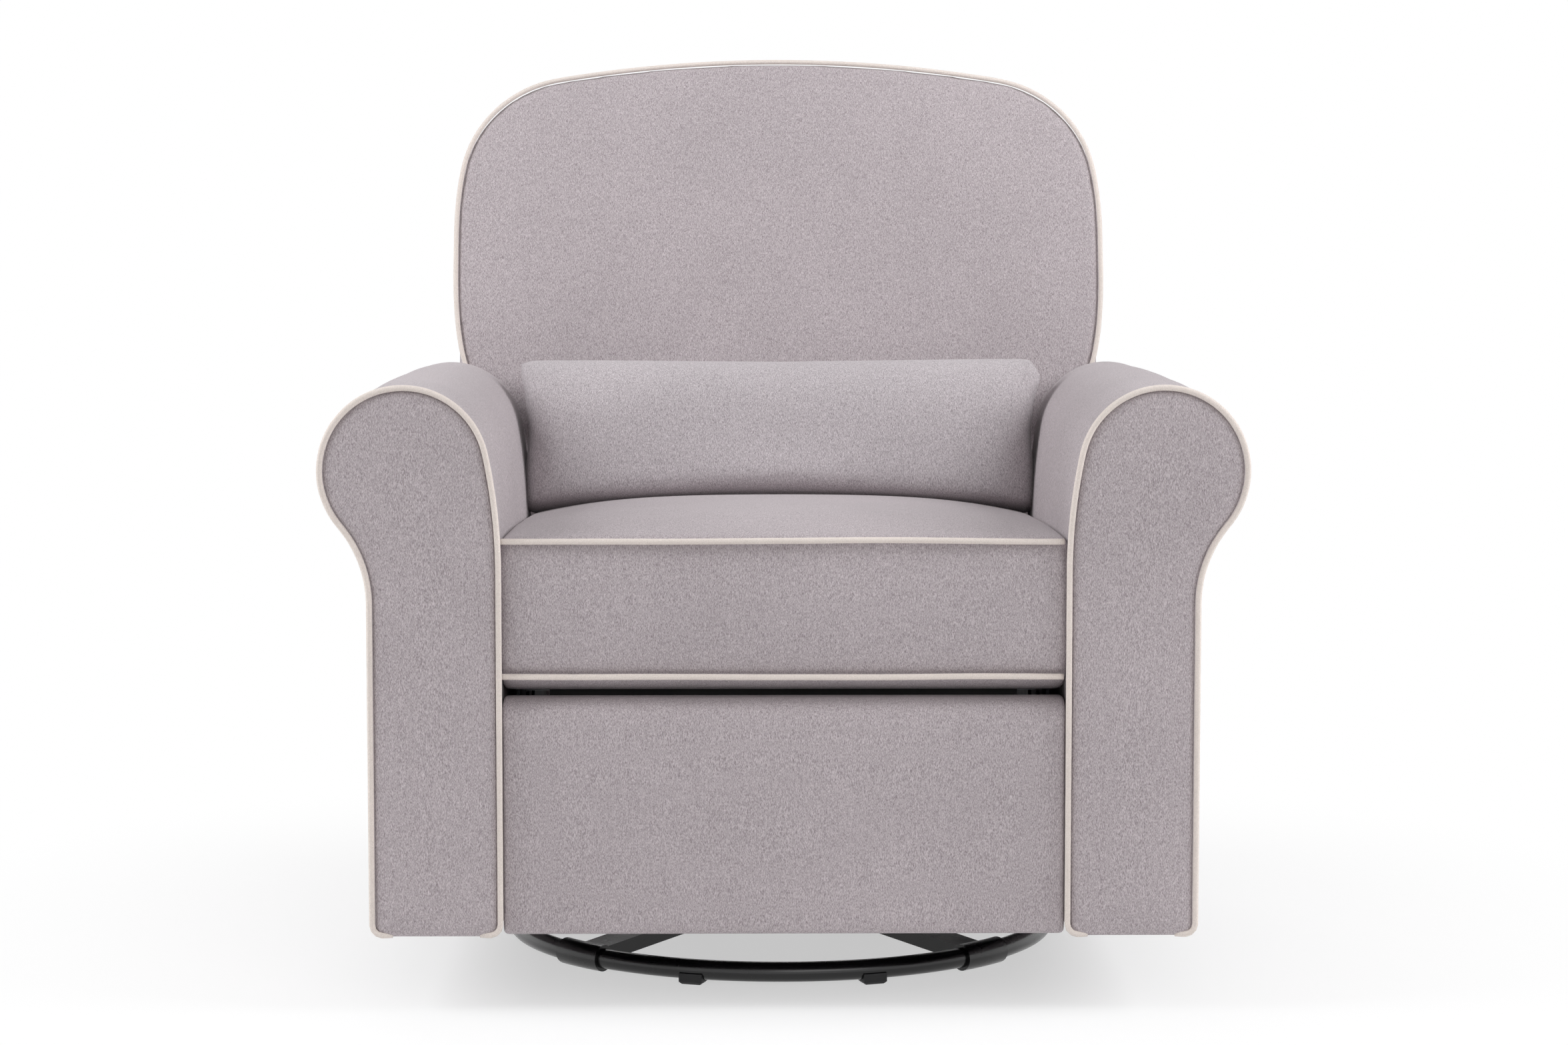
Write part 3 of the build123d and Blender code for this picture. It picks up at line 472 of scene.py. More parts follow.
HEATHER = ClothFinish(
    "heather_cloth", colour(136, 126, 129), colour(206, 197, 200), 1600.0, 0.34, 2.6, 0.0006, 0.15
)
# Lighter copy of the heather cloth for the lumbar pillow: painted light that brightens the pillow's
# shaded lower face.
PAINTED_LIGHT_CLOTH = ClothFinish(
    "heather_cloth_painted_light", colour(140, 132, 135), colour(212, 205, 208),
    1600.0, 0.34, 2.6, 0.0006, 0.15,
)
PIPING = ClothFinish(
    "cream_piping", colour(208, 197, 190), colour(235, 225, 218), 1500.0, 0.8, 2.2, 0.0004, 0.12
)
BLACK_COAT = HardFinish(
    "black_coat", colour(11, 11, 13), colour(58, 58, 62), 0.0, (0.2, 0.32), 420.0, 0.03, coat=0.3
)
FOOT_RUBBER = HardFinish(
    "foot_rubber", colour(26, 26, 28), colour(60, 58, 56), 0.0, (0.5, 0.68), 300.0, 0.06
)
BALL_STEEL = HardFinish(
    "ball_steel", colour(196, 196, 200), colour(150, 146, 140), 1.0, (0.14, 0.24), 300.0, 0.02
)
DARK_STEEL = HardFinish(
    "dark_steel", colour(58, 58, 61), colour(96, 92, 88), 0.85, (0.36, 0.52), 240.0, 0.05
)
ZINC_WIRE = HardFinish(
    "zinc_wire", colour(150, 152, 156), colour(108, 104, 98), 1.0, (0.3, 0.44), 420.0, 0.04
)
PINE = TimberFinish("pine_board", colour(205, 172, 128), colour(158, 118, 76))
# Near-black board for the seat frame: painted shade, so the gap under the seat cushion reads as
# dark.
SHADE_BOARD = TimberFinish("board_painted_shade", colour(26, 23, 22), colour(16, 14, 13))


def smoothstep(low: float, high: float, value: float) -> float:
    """Smooth ramp from 0 at low to 1 at high.

    Args:
        low: where the ramp starts.
        high: where the ramp ends.
        value: the point on the ramp.

    Returns:
        A share from 0 to 1.
    """
    share = min(1.0, max(0.0, (value - low) / (high - low)))
    return share * share * (3 - 2 * share)


def ripple(point: Vector, wave: float, seed: float) -> float:
    """Smooth unevenness of a stuffed surface.

    Args:
        point: place in metres.
        wave: length of one swell in metres.
        seed: shifts the pattern.

    Returns:
        A value from about -1 to 1.
    """
    return noise.noise(point / wave + Vector((seed, seed * 0.37, -seed)))


def arc(centre: Point2, radius: float, start: float, turn: float, count: int) -> list[Point2]:
    """Points along an arc, without its last one.

    Args:
        centre: centre of the arc.
        radius: radius.
        start: first angle in degrees.
        turn: angle swept in degrees.
        count: number of points.

    Returns:
        The points in order.
    """
    steps = [math.radians(start + turn * i / count) for i in range(count)]
    return [(centre[0] + radius * math.cos(a), centre[1] + radius * math.sin(a)) for a in steps]


def line(start: Point2, end: Point2, count: int) -> list[Point2]:
    """Points along a straight run, without its last one.

    Args:
        start: first point.
        end: the point after the last one.
        count: number of points.

    Returns:
        The points in order.
    """
    run, rise = end[0] - start[0], end[1] - start[1]
    return [(start[0] + run * i / count, start[1] + rise * i / count) for i in range(count)]


def rounded_box(
    half: float, low: float, high: float, radii: Point2, counts: tuple[int, int, int, int]
) -> list[Point2]:
    """Loop round a rectangle with rounded corners, from its lower left.

    Args:
        half: half of its width.
        low: its lower edge.
        high: its upper edge.
        radii: radius of the lower and of the upper corners.
        counts: points along the width, a lower corner, the height and an upper corner.

    Returns:
        The loop.
    """
    foot, head = radii
    wide, low_turn, tall, high_turn = counts
    loop = line((-half + foot, low), (half - foot, low), wide)
    loop += arc((half - foot, low + foot), foot, 270, 90, low_turn)
    loop += line((half, low + foot), (half, high - head), tall)
    loop += arc((half - head, high - head), head, 0, 90, high_turn)
    loop += line((half - head, high), (-half + head, high), wide)
    loop += arc((-half + head, high - head), head, 90, 90, high_turn)
    loop += line((-half, high - head), (-half, low + foot), tall)
    loop += arc((-half + foot, low + foot), foot, 180, 90, low_turn)
    return loop


def mirrored(run: Sequence[Point2]) -> list[Point2]:
    """The left twin of a run on the right, in reverse order.

    Args:
        run: points across and up.

    Returns:
        The mirrored points.
    """
    return [(-u, v) for u, v in reversed(run)]


def shrink(edge: Ring, share: float, reach: float, centre: Point2) -> Ring:
    """Loop between an edge and a middle line along X.

    Args:
        edge: the outer loop.
        share: 0 at the edge and 1 at the middle line.
        reach: half of the middle line's length.
        centre: the middle line's Y and Z.

    Returns:
        The loop.
    """
    ring = []
    for p in edge:
        x = p.x + (max(-reach, min(reach, p.x)) - p.x) * share
        y = p.y + (centre[0] - p.y) * share
        ring.append(Vector((x, y, p.z + (centre[1] - p.z) * share)))
    return ring


def resample(points: Sequence, step: float, closed: bool) -> list[Vector]:
    """Points at even distances along a run of points.

    Args:
        points: the run, in two or three dimensions.
        step: wanted distance in metres.
        closed: join the last point to the first.

    Returns:
        The evenly spaced points.
    """
    run = list(points) + ([points[0]] if closed else [])
    spots = np.array([tuple(Vector(p)) for p in run])
    gaps = np.linalg.norm(np.diff(spots, axis=0), axis=1)
    along = np.concatenate([[0.0], np.cumsum(gaps)])
    count = max(3, round(along[-1] / step))
    wanted = np.linspace(0.0, along[-1], count + 1)[: count if closed else count + 1]
    parts = [np.interp(wanted, along, spots[:, axis]) for axis in range(spots.shape[1])]
    return [Vector(p) for p in zip(*parts)]


def rounded(points: Sequence[Vector], passes: int, closed: bool) -> list[Vector]:
    """Soften the corners of a run of even points.

    Args:
        points: the run.
        passes: how many times each point moves to its neighbours' middle.
        closed: the run is a loop.

    Returns:
        The softened run.
    """
    spots = np.array([tuple(p) for p in points])
    for _ in range(passes):
        moved = (np.roll(spots, 1, axis=0) + 2 * spots + np.roll(spots, -1, axis=0)) / 4
        if not closed:
            moved[0], moved[-1] = spots[0], spots[-1]
        spots = moved
    return [Vector(p) for p in spots]


def link_mesh(name: str, shape: bmesh.types.BMesh) -> bpy.types.Object:
    """Turn a bmesh into a smooth object.

    Args:
        name: the piece's name.
        shape: the mesh, used up.

    Returns:
        The linked object.
    """
    for face in shape.faces:
        face.smooth = True
    data = bpy.data.meshes.new(name)
    shape.to_mesh(data)
    shape.free()
    made = bpy.data.objects.new(name, data)
    bpy.context.scene.collection.objects.link(made)
    return made


def mesh_object(
    name: str, verts: Sequence[Vector], faces: Sequence[Sequence[int]]
) -> bpy.types.Object:
    """New smooth mesh with clean normals.

    Args:
        name: the piece's name.
        verts: points in metres.
        faces: corner numbers of each face.

    Returns:
        The linked object.
    """
    raw = bpy.data.meshes.new(name)
    raw.from_pydata([tuple(v) for v in verts], [], [tuple(f) for f in faces])
    shape = bmesh.new()
    shape.from_mesh(raw)
    bpy.data.meshes.remove(raw)
    bmesh.ops.remove_doubles(shape, verts=shape.verts, dist=2e-5)
    bmesh.ops.dissolve_degenerate(shape, edges=shape.edges, dist=1e-6)
    bmesh.ops.recalc_face_normals(shape, faces=shape.faces)
    return link_mesh(name, shape)


def band_faces(rows: int, size: int) -> list[tuple[int, ...]]:
    """Faces between neighbouring loops.

    Args:
        rows: number of bands.
        size: points of each loop.

    Returns:
        Corner numbers of each face.
    """
    faces = []
    for row in range(rows):
        for col in range(size):
            low, nxt = row * size, (col + 1) % size
            faces.append((low + col, low + nxt, low + size + nxt, low + size + col))
    return faces


def ring_form(name: str, rings: Sequence[Ring]) -> bpy.types.Object:
    """Closed skin through a row of loops, each with the same number of points.

    Args:
        name: the piece's name.
        rings: the loops in order; the first and last may shrink to a line or point.

    Returns:
        The linked object.
    """
    verts = [p for ring in rings for p in ring]
    return mesh_object(name, verts, band_faces(len(rings) - 1, len(rings[0])))


def tube(name: str, path: Sequence[Vector], radius: float) -> bpy.types.Object:
    """Piping: a round cord in a cloth sleeve along a path, closed at both ends.

    Args:
        name: the piece's name.
        path: even points along the middle.
        radius: the piping's radius.

    Returns:
        The linked object.
    """
    normal = Vector((0, 0, 1))
    verts: list[Vector] = []
    last = len(path) - 1
    turns = [2 * math.pi * k / WELT_SIDES for k in range(WELT_SIDES)]
    for i, spot in enumerate(path):
        ahead = (path[min(i + 1, last)] - path[max(i - 1, 0)]).normalized()
        across = ahead.cross(normal)
        if across.length < 0.2:
            across = ahead.cross(Vector((0, 1, 0)))
        across.normalize()
        normal = across.cross(ahead).normalized()
        size = radius * (1 + 0.035 * ripple(spot, 0.016, 3.0))
        verts += [spot + (across * math.cos(a) + normal * math.sin(a)) * size for a in turns]
    faces = band_faces(last, WELT_SIDES)
    faces.append(tuple(range(WELT_SIDES)))
    faces.append(tuple(last * WELT_SIDES + k for k in range(WELT_SIDES)))
    return mesh_object(name, verts, faces)


def join_pieces(name: str, parts: Sequence[bpy.types.Object]) -> bpy.types.Object:
    """Join several meshes into one piece.

    Args:
        name: the piece's name.
        parts: the meshes, used up.

    Returns:
        The joined piece.
    """
    shape = bmesh.new()
    for part in parts:
        old = part.data
        shape.from_mesh(old)
        bpy.data.objects.remove(part)
        bpy.data.meshes.remove(old)
    return link_mesh(name, shape)


def freeze(piece: bpy.types.Object) -> None:
    """Apply a piece's modifiers to its mesh.

    Args:
        piece: the piece, changed in place.
    """
    graph = bpy.context.evaluated_depsgraph_get()
    data = bpy.data.meshes.new_from_object(piece.evaluated_get(graph))
    old = piece.data
    piece.modifiers.clear()
    piece.data = data
    data.name = piece.name
    bpy.data.meshes.remove(old)
    for face in data.polygons:
        face.use_smooth = True


def refine(piece: bpy.types.Object) -> None:
    """Give a piece a smooth skin, subdivided once.

    Args:
        piece: the piece, changed in place.
    """
    finer = piece.modifiers.new("finer", "SUBSURF")
    finer.levels = 1
    finer.render_levels = 1
    freeze(piece)


def points_of(data: bpy.types.Mesh) -> np.ndarray:
    """Coordinates of a mesh's points.

    Args:
        data: the mesh.

    Returns:
        One row of X, Y and Z for each point.
    """
    spots = np.empty(len(data.vertices) * 3, np.float32)
    data.vertices.foreach_get("co", spots)
    return spots.reshape(-1, 3).astype(float)


@dataclass(frozen=True)
class Stuffing:
    """How a cover swells under its filling in the cloth run."""

    voxel: float
    pressure: float
    cap: float
    loose: float = 0.0
    bend: float = 0.6
    stretch: float = 18.0
    shear: float = 8.0
    mass: float = 0.3
    quality: int = 5
    frames: int = 20

    def even_out(self, piece: bpy.types.Object) -> None:
        """Remesh a piece to even small faces and soften the steps.

        Args:
            piece: the piece, changed in place.
        """
        mesher = piece.modifiers.new("even", "REMESH")
        mesher.mode = "VOXEL"
        mesher.voxel_size = self.voxel
        mesher.use_smooth_shade = True
        soft = piece.modifiers.new("soft", "SMOOTH")
        soft.factor = 0.5
        soft.iterations = 4
        freeze(piece)

    def cloth(self, piece: bpy.types.Object) -> bpy.types.Modifier:
        """Set the cloth run up.

        Args:
            piece: the piece, with its sewn points in a group.

        Returns:
            The cloth modifier.
        """
        made = piece.modifiers.new("filling", "CLOTH")
        setup = made.settings
        setup.quality = self.quality
        setup.mass = self.mass
        setup.tension_stiffness = self.stretch
        setup.compression_stiffness = self.stretch
        setup.shear_stiffness = self.shear
        setup.bending_stiffness = self.bend
        setup.use_pressure = True
        setup.uniform_pressure_force = self.pressure
        setup.vertex_group_mass = "sewn"
        setup.effector_weights.gravity = 0
        setup.shrink_min = -self.loose
        made.collision_settings.use_collision = False
        made.collision_settings.use_self_collision = False
        made.point_cache.frame_start = 1
        made.point_cache.frame_end = self.frames
        return made

    def swell(self, piece: bpy.types.Object, held: Callable[[Vector], float]) -> None:
        """Run the cloth with its filling's pressure and keep the result.

        Args:
            piece: the piece, changed in place.
            held: how firmly a point is sewn down, from 0 to 1.
        """
        start = points_of(piece.data)
        grip = np.array([held(Vector(p)) for p in start])
        sewn = piece.vertex_groups.new(name="sewn")
        for index in np.nonzero(grip > 0.01)[0]:
            sewn.add([int(index)], float(grip[index]), "REPLACE")
        cloth = self.cloth(piece)
        scene = bpy.context.scene
        for step in range(1, self.frames + 1):
            scene.frame_set(step)
        shown = piece.evaluated_get(bpy.context.evaluated_depsgraph_get()).to_mesh()
        shift = points_of(shown) - start
        piece.modifiers.remove(cloth)
        piece.vertex_groups.remove(sewn)
        scene.frame_set(1)
        far = np.linalg.norm(shift, axis=1)
        soft = self.cap * np.tanh(far / self.cap)
        kept = start + shift * (soft / np.maximum(far, 1e-9))[:, None]
        piece.data.vertices.foreach_set("co", kept.astype(np.float32).ravel())
        piece.data.update()
        LOG.info("%s swelled by %.1f mm at most", piece.name, far.max() / MM)


def dress(
    piece: bpy.types.Object, finish: Finish, slot: Slot, body: str, node: str,
) -> None:
    """Give a piece its finish, its body and the node that it stands for.

    Args:
        piece: the finished mesh.
        finish: its finish.
        slot: the record's slot of that finish; not used.
        body: the body that it rides on.
        node: the frame's node that it replaces.
    """
    piece.data.materials.clear()
    piece.data.materials.append(finish.material())
    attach(piece, body)
    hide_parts(node)
    LOG.info("%s: %d faces on %s", piece.name, len(piece.data.polygons), body)


@dataclass(frozen=True)
class LeanPlane:
    """A plane that leans back, with axes across, up along it and out of its face."""

    y: float
    z: float
    lean: float = math.radians(17.0)

    def place(self, u: float, v: float, w: float) -> Vector:
        """Point of the plane's axes in the chair's frame.

        Args:
            u: across.
            v: up along the plane.
            w: out of its face.

        Returns:
            The point.
        """
        y = self.y + v * math.sin(self.lean) - w * math.cos(self.lean)
        z = self.z + v * math.cos(self.lean) + w * math.sin(self.lean)
        return Vector((u, y, z))

    def local(self, spot: Vector) -> Vector:
        """Place of a point in the plane's axes.

        Args:
            spot: the point in the chair's frame.

        Returns:
            Across, up and out.
        """
        sin, cos = math.sin(self.lean), math.cos(self.lean)
        y, z = spot.y - self.y, spot.z - self.z
        return Vector((spot.x, y * sin + z * cos, z * sin - y * cos))

    def depth(self, z: float, gap: float) -> float:
        """Depth of a line in front of the plane.

        Args:
            z: the height.
            gap: its distance from the plane.

        Returns:
            Y at that height.
        """
        return self.y + (z - self.z) * math.tan(self.lean) - gap / math.cos(self.lean)


BACK_FACE = LeanPlane(115 * MM, 440 * MM)
PILLOW_MIDDLE = LeanPlane(73.2 * MM, 534 * MM)


@dataclass(frozen=True)
class Dome:
    """How loops close over a crowned face, from its edge to its middle."""

    count: int
    start: float
    ease: float
    bend: float

    def steps(self) -> list[Point2]:
        """Work the loops out.

        Returns:
            For each loop its share of the way to the middle and of the crown's height.
        """
        even = [(step / (self.count - 1)) ** self.ease for step in range(self.count)]
        shares = [self.start + (1 - self.start) * share for share in even]
        return [(share, 1 - (1 - share) ** self.bend) for share in shares]


@dataclass
class RollArm:
    """Upholstered arm with a rolled top and a piped front panel.

    The seam lists inset and depth in millimetres, the panels list the share of the way in and the
    height, and the rear edge, rear face and welt tuck give two distances each.
    """

    side: Side
    front: float = -430 * MM
    inner: float = 271 * MM
    outer: float = 395 * MM
    low: float = 75 * MM
    roll_x: float = 361 * MM
    roll_z: float = 521 * MM
    roll_r: float = 80 * MM
    ease: float = 12.0
    neck: float = 40.0
    corner: float = 10 * MM
    tail: float = 280 * MM
    tail_z: float = 300 * MM
    shoulder_z: float = 428 * MM
    back_gap: float = 14 * MM
    crown: float = 5 * MM
    sag: float = 0.8 * MM
    welt_r: float = 2.9 * MM
    welt_in: float = 0.6 * MM
    panel_in: float = 3.6 * MM
    panel: Steps = (
        (1.0, 1.0), (0.8, 0.97), (0.6, 0.88), (0.42, 0.74),
        (0.26, 0.54), (0.14, 0.32), (0.06, 0.1), (0.0, -0.4),
    )
    seam: Steps = ((3.4, 4.6), (2.8, 6.0), (1.4, 9.0), (0.2, 16.0), (-0.6, 28.0))
    spine_drop: float = 105 * MM
    spine_foot: float = 55 * MM
    swell: float = 2.6 * MM
    uneven: float = 1.3 * MM
    side_start: float = 44 * MM
    side_runs: int = 52
    side_end: float = 10 * MM
    rear_edge: Point2 = (4 * MM, 2.5 * MM)
    rear_face: Point2 = (11 * MM, 0.5 * MM)
    rear_panel: Steps = ((0.0, 0.0), (0.3, 0.5), (0.65, 0.9), (1.0, 1.0))
    floor_points: int = 14
    welt_tuck: Point2 = (9 * MM, 3 * MM)

    def outline(self, inset: float, floor: float) -> list[Point2]:
        """Front outline as a loop of X and Z, drawn in by inset.

        Args:
            inset: distance inwards.
            floor: height of the bottom edge.

        Returns:
            The loop, from the inner bottom corner over the roll to the outer one.
        """
        ease, neck, r = math.radians(self.ease), math.radians(self.neck), self.corner
        ease_r = (self.roll_x - self.roll_r * math.cos(ease) - self.inner) / (1 - math.cos(ease))
        ease_z = self.roll_z + (self.roll_r - ease_r) * math.sin(ease)
        neck_r = (self.roll_x + self.roll_r * math.cos(neck) - self.outer) / (1 - math.cos(neck))
        neck_z = self.roll_z - (self.roll_r + neck_r) * math.sin(neck)
        low = floor + r
        inner, outer = self.inner + inset, self.outer - inset
        over = self.ease - 180 - self.neck
        loop = arc((inner + r, low), r, 270, -90, 4)
        loop += line((inner, low), (inner, ease_z), 46)
        loop += arc((self.inner + ease_r, ease_z), ease_r - inset, 180, -self.ease, 15)
        loop += arc((self.roll_x, self.roll_z), self.roll_r - inset, 180 - self.ease, over, 52)
        loop += arc((self.outer + neck_r, neck_z), neck_r + inset, 180 - self.neck, self.neck, 12)
        loop += line((outer, neck_z), (outer, low), 40)
        loop += arc((outer - r, low), r, 0, -90, 4)
        loop += line((outer - r, floor), (inner + r, floor), self.floor_points)
        return loop

    def rear(self, z: float) -> float:
        """Depth of the arm's rear edge at a height.

        Args:
            z: the height.

        Returns:
            Y of the rear edge.
        """
        if z <= self.tail_z:
            return self.tail
        if z >= self.shoulder_z:
            return BACK_FACE.depth(z, self.back_gap)
        shoulder = BACK_FACE.depth(self.shoulder_z, self.back_gap)
        share = (self.shoulder_z - z) / (self.shoulder_z - self.tail_z)
        return shoulder + (self.tail - shoulder) * share

    def spine(self, spot: Point2) -> Point2:
        """Middle line that the front panel's loops shrink to.

        Args:
            spot: a point of the outline.

        Returns:
            The point of the middle line beside it.
        """
        mid = (self.inner + self.outer) / 2
        neck_z = self.roll_z - self.spine_drop
        if spot[1] <= neck_z:
            return (mid, max(spot[1], self.low + self.spine_foot))
        share = smoothstep(neck_z, self.roll_z, spot[1])
        return (mid + (self.roll_x - mid) * share, min(spot[1], self.roll_z))

    def panel_rings(self, steps: Steps, edge: Sequence[Point2], depth: Callable) -> list[Ring]:
        """Loops of the front or rear face between its edge and its middle line.

        Args:
            steps: share of the way to the middle line and height there, for each loop.
            edge: the face's outer loop.
            depth: gives Y for a height of the face and a Z.

        Returns:
            The loops in the order of the steps.
        """
        rings = []
        for share, height in steps:
            ring = []
            for spot in edge:
                mid = self.spine(spot)
                x = spot[0] + (mid[0] - spot[0]) * share
                z = spot[1] + (mid[1] - spot[1]) * share
                ring.append(Vector((x, depth(height, z), z)))
            rings.append(ring)
        return rings

    def padded_point(self, x: float, y: float, z: float, share: float) -> Vector:
        """Point of the arm's side with the swell of its padding.

        Args:
            x: across.
            y: depth.
            z: height.
            share: 0 at the front seam and 1 at the rear edge.

        Returns:
            The moved point.
        """
        spot = Vector((x, y, z))
        if z < self.roll_z - self.roll_r:
            return spot
        out = Vector((x - self.roll_x, 0, z - self.roll_z)).normalized()
        roll = smoothstep(self.roll_z - self.roll_r, self.roll_z, z)
        swell = self.swell * math.sin(math.pi * min(1.0, share * 1.15)) ** 0.6 * roll
        uneven = self.uneven * ripple(spot, 0.11, 5.0 * self.side.value) * roll
        return spot + out * (swell + uneven)

    def cover(self) -> bpy.types.Object:
        """Soft cover of the arm.

        Returns:
            The cover's mesh.
        """
        floor = self.low - self.sag
        face = self.outline(self.panel_in, floor)
        rings = self.panel_rings(self.panel, face, lambda h, z: self.front - self.crown * h)
        for inset, back in self.seam:
            loop = self.outline(inset * MM, floor)
            rings.append([Vector((x, self.front + back * MM, z)) for x, z in loop])
        loop = self.outline(0, floor)
        begin = self.front + self.side_start
        for step in range(self.side_runs + 1):
            share = step / self.side_runs
            ends = [self.rear(z) - self.side_end for x, z in loop]
            depths = [begin + (end - begin) * share for end in ends]
            rings.append([self.padded_point(x, y, z, share) for (x, z), y in zip(loop, depths)])
        inset, gap = self.rear_edge
        edge = self.outline(inset, floor)
        rings.append([Vector((x, self.rear(z) - gap, z)) for x, z in edge])
        inset, sunk = self.rear_face
        face = self.outline(inset, floor)
        rings += self.panel_rings(self.rear_panel, face, lambda h, z: self.rear(z) - sunk)
        for spot in (p for ring in rings for p in ring):
            spot.x *= self.side.value
        return ring_form(f"{self.side.name.lower()}_arm_cover", rings)

    def welt(self) -> bpy.types.Object:
        """Piping round the front panel, turned in at the bottom corners.

        Returns:
            The piping's mesh.
        """
        sign = self.side.value
        loop = self.outline(self.welt_in, self.low + self.welt_in)
        run = loop[: len(loop) - self.floor_points + 1]
        path = [Vector((sign * x, self.front + self.welt_in, z)) for x, z in run]
        inward, back = self.welt_tuck
        first = path[0] + Vector((sign * inward, back, 0))
        last = path[-1] + Vector((-sign * inward, back, 0))
        even = resample([first, *path, last], WELT_STEP, closed=False)
        return tube(f"{self.side.name.lower()}_arm_piping", even, self.welt_r)

    def build(self) -> None:
        """Make and dress the arm's pieces."""
        name = self.side.name.lower()
        cover = self.cover()
        refine(cover)
        dress(cover, HEATHER, Slot.FABRIC, "chair", f"{name}_arm")
        dress(self.welt(), PIPING, Slot.WELT, "chair", f"{name}_arm_welt")


@dataclass
class SeatCushion:
    """Boxed seat cushion with piping along its two front seams.

    The fold and the boxing list inset in millimetres and share of their height.
    """

    half: float = 272 * MM
    front: float = -420 * MM
    bed: float = 312 * MM
    welt_low: float = 324 * MM
    edge: float = 457 * MM
    crown: float = 21 * MM
    fall: float = 20 * MM
    rise: float = 190 * MM
    sag: float = 7 * MM
    corner: float = 6 * MM
    back_gap: float = 22 * MM
    base_in: float = 60 * MM
    ends_in: float = 6 * MM
    fold_ends: float = 0.5 * MM
    top_in: float = 6 * MM
    spine_share: float = 0.42
    fall_bend: float = 1.4
    front_bend: float = 2.6
    side_bend: float = 3.4
    rear_fade: float = 14 * MM
    rear_held: float = 40 * MM
    wall_held: float = 10 * MM
    seam_held: float = 7 * MM
    base: Sequence[float] = (1.0, 0.75, 0.5, 0.25, 0.0)
    fold: Steps = (
        (44.0, 0.04), (34.0, 0.16), (26.0, 0.34), (19.0, 0.54), (13.0, 0.76), (8.5, 0.96)
    )
    boxing: Steps = (
        (0.6, 0.05), (-2.0, 0.2), (-3.4, 0.4), (-3.4, 0.6), (-2.0, 0.8), (0.6, 0.95), (2.8, 1.0)
    )
    seam_drop: float = 2 * MM
    top: Dome = Dome(25, 0.0, 1.25, 1.0)
    welt_r: float = 2.9 * MM
    welt_set: float = 0.55
    welt_wave: float = 1.6 * MM
    welt_points: int = 110
    stuffing: Stuffing = Stuffing(6 * MM, 2.5, 9 * MM)

    def rear(self, z: float) -> float:
        """Depth of the rear edge along the leaning back.

        Args:
            z: the height.

        Returns:
            Y of the rear edge.
        """
        return BACK_FACE.depth(z, self.back_gap)

    def plan(self, inset: float, z: float, ends: float) -> Ring:
        """Loop round the cushion at a height.

        Args:
            inset: how far the front and the rear are drawn in.
            z: the height.
            ends: how far the two ends are drawn in.

        Returns:
            The loop.
        """
        near, far = self.front + inset, self.rear(z) - inset
        radii = (self.corner, self.corner)
        loop = rounded_box(self.half - ends, near, far, radii, (84, 5, 78, 5))
        return [Vector((x, y, z)) for x, y in loop]

    def roof(self, edge: Ring, share: float) -> Ring:
        """Loop between the edge and the cushion's middle line.

        Args:
            edge: the outer loop.
            share: 0 at the edge and 1 at the middle line.

        Returns:
            The loop.
        """
        mid_y = sum(p.y for p in edge) / len(edge)
        return shrink(edge, share, self.half * self.spine_share, (mid_y, edge[0].z))

    def cover(self) -> bpy.types.Object:
        """Soft cover of the cushion before its filling swells.

        Returns:
            The cover's mesh.
        """
        under = self.bed - self.sag
        base = self.plan(self.base_in, under, self.ends_in)
        rings = [self.roof(base, share) for share in self.base]
        drop = self.welt_low - self.bed + self.sag
        for inset, share in self.fold:
            rings.append(self.plan(inset * MM, under + drop * share, self.fold_ends))
        tall = self.edge - self.welt_low
        for inset, share in self.boxing:
            z = self.welt_low + tall * share - self.seam_drop
            rings.append(self.plan(inset * MM, z, 0.0))
        top = self.plan(self.top_in, self.edge, self.top_in)
        rings += [self.roof(top, share) for share, _ in self.top.steps()[1:]]
        for spot in (p for ring in rings for p in ring):
            spot.z += self.lift(spot)
        return ring_form("seat_cushion_cover", rings)

    def slope(self, y: float) -> float:
        """How far the top has fallen towards the rear.

        Args:
            y: the depth.

        Returns:
            The fall at that depth.
        """
        along = max(0.0, (y - self.front) / (self.rear(self.edge) - self.front))
        return self.fall * along**self.fall_bend

    def lift(self, spot: Vector) -> float:
        """How far a point is raised by the crown and lowered by the seat's slope.

        Args:
            spot: a point of the flat-topped box.

        Returns:
            The height to add.
        """
        slope = self.slope(spot.y) * smoothstep(self.welt_low, self.edge, spot.z)
        if spot.z < self.edge - 0.1 * MM:
            return -slope
        ahead = 1 - max(0.0, 1 - (spot.y - self.front) / self.rise) ** self.front_bend
        behind = min(1.0, max(0.0, self.rear(self.edge) - spot.y) / self.rear_fade)
        across = 1 - min(1.0, abs(spot.x) / self.half) ** self.side_bend
        return self.crown * ahead * across * behind - slope

    def held(self, spot: Vector) -> float:
        """How firmly a point is sewn down.

        Args:
            spot: a point of the cover.

        Returns:
            1 at the seams, the underside and the rear, and 0 elsewhere.
        """
        edge = self.edge - self.slope(spot.y)
        seam = min(abs(spot.z - self.welt_low), abs(spot.z - edge + self.seam_drop))
        wall = min(self.half - abs(spot.x), spot.y - self.front, self.rear(spot.z) - spot.y)
        fixed = spot.z < self.welt_low or spot.y > self.rear(spot.z) - self.rear_held
        return float(fixed or (wall < self.wall_held and seam < self.seam_held))

    def welts(self) -> bpy.types.Object:
        """Piping along the top and bottom seams of the front.

        Returns:
            The piping's mesh.
        """
        tubes = []
        near = self.front - self.welt_r * self.welt_set
        for index, level in enumerate((self.welt_low, self.edge - self.welt_r)):
            path = []
            for x, y in line((-self.half, near), (self.half, near), self.welt_points):
                wave = self.welt_wave * ripple(Vector((x, 0, level)), 0.16, 9.0)
                path.append(Vector((x, y, level + wave)))
            even = resample(path, WELT_STEP, closed=False)
            tubes.append(tube(f"seat_piping_{index}", even, self.welt_r))
        return join_pieces("seat_piping", tubes)

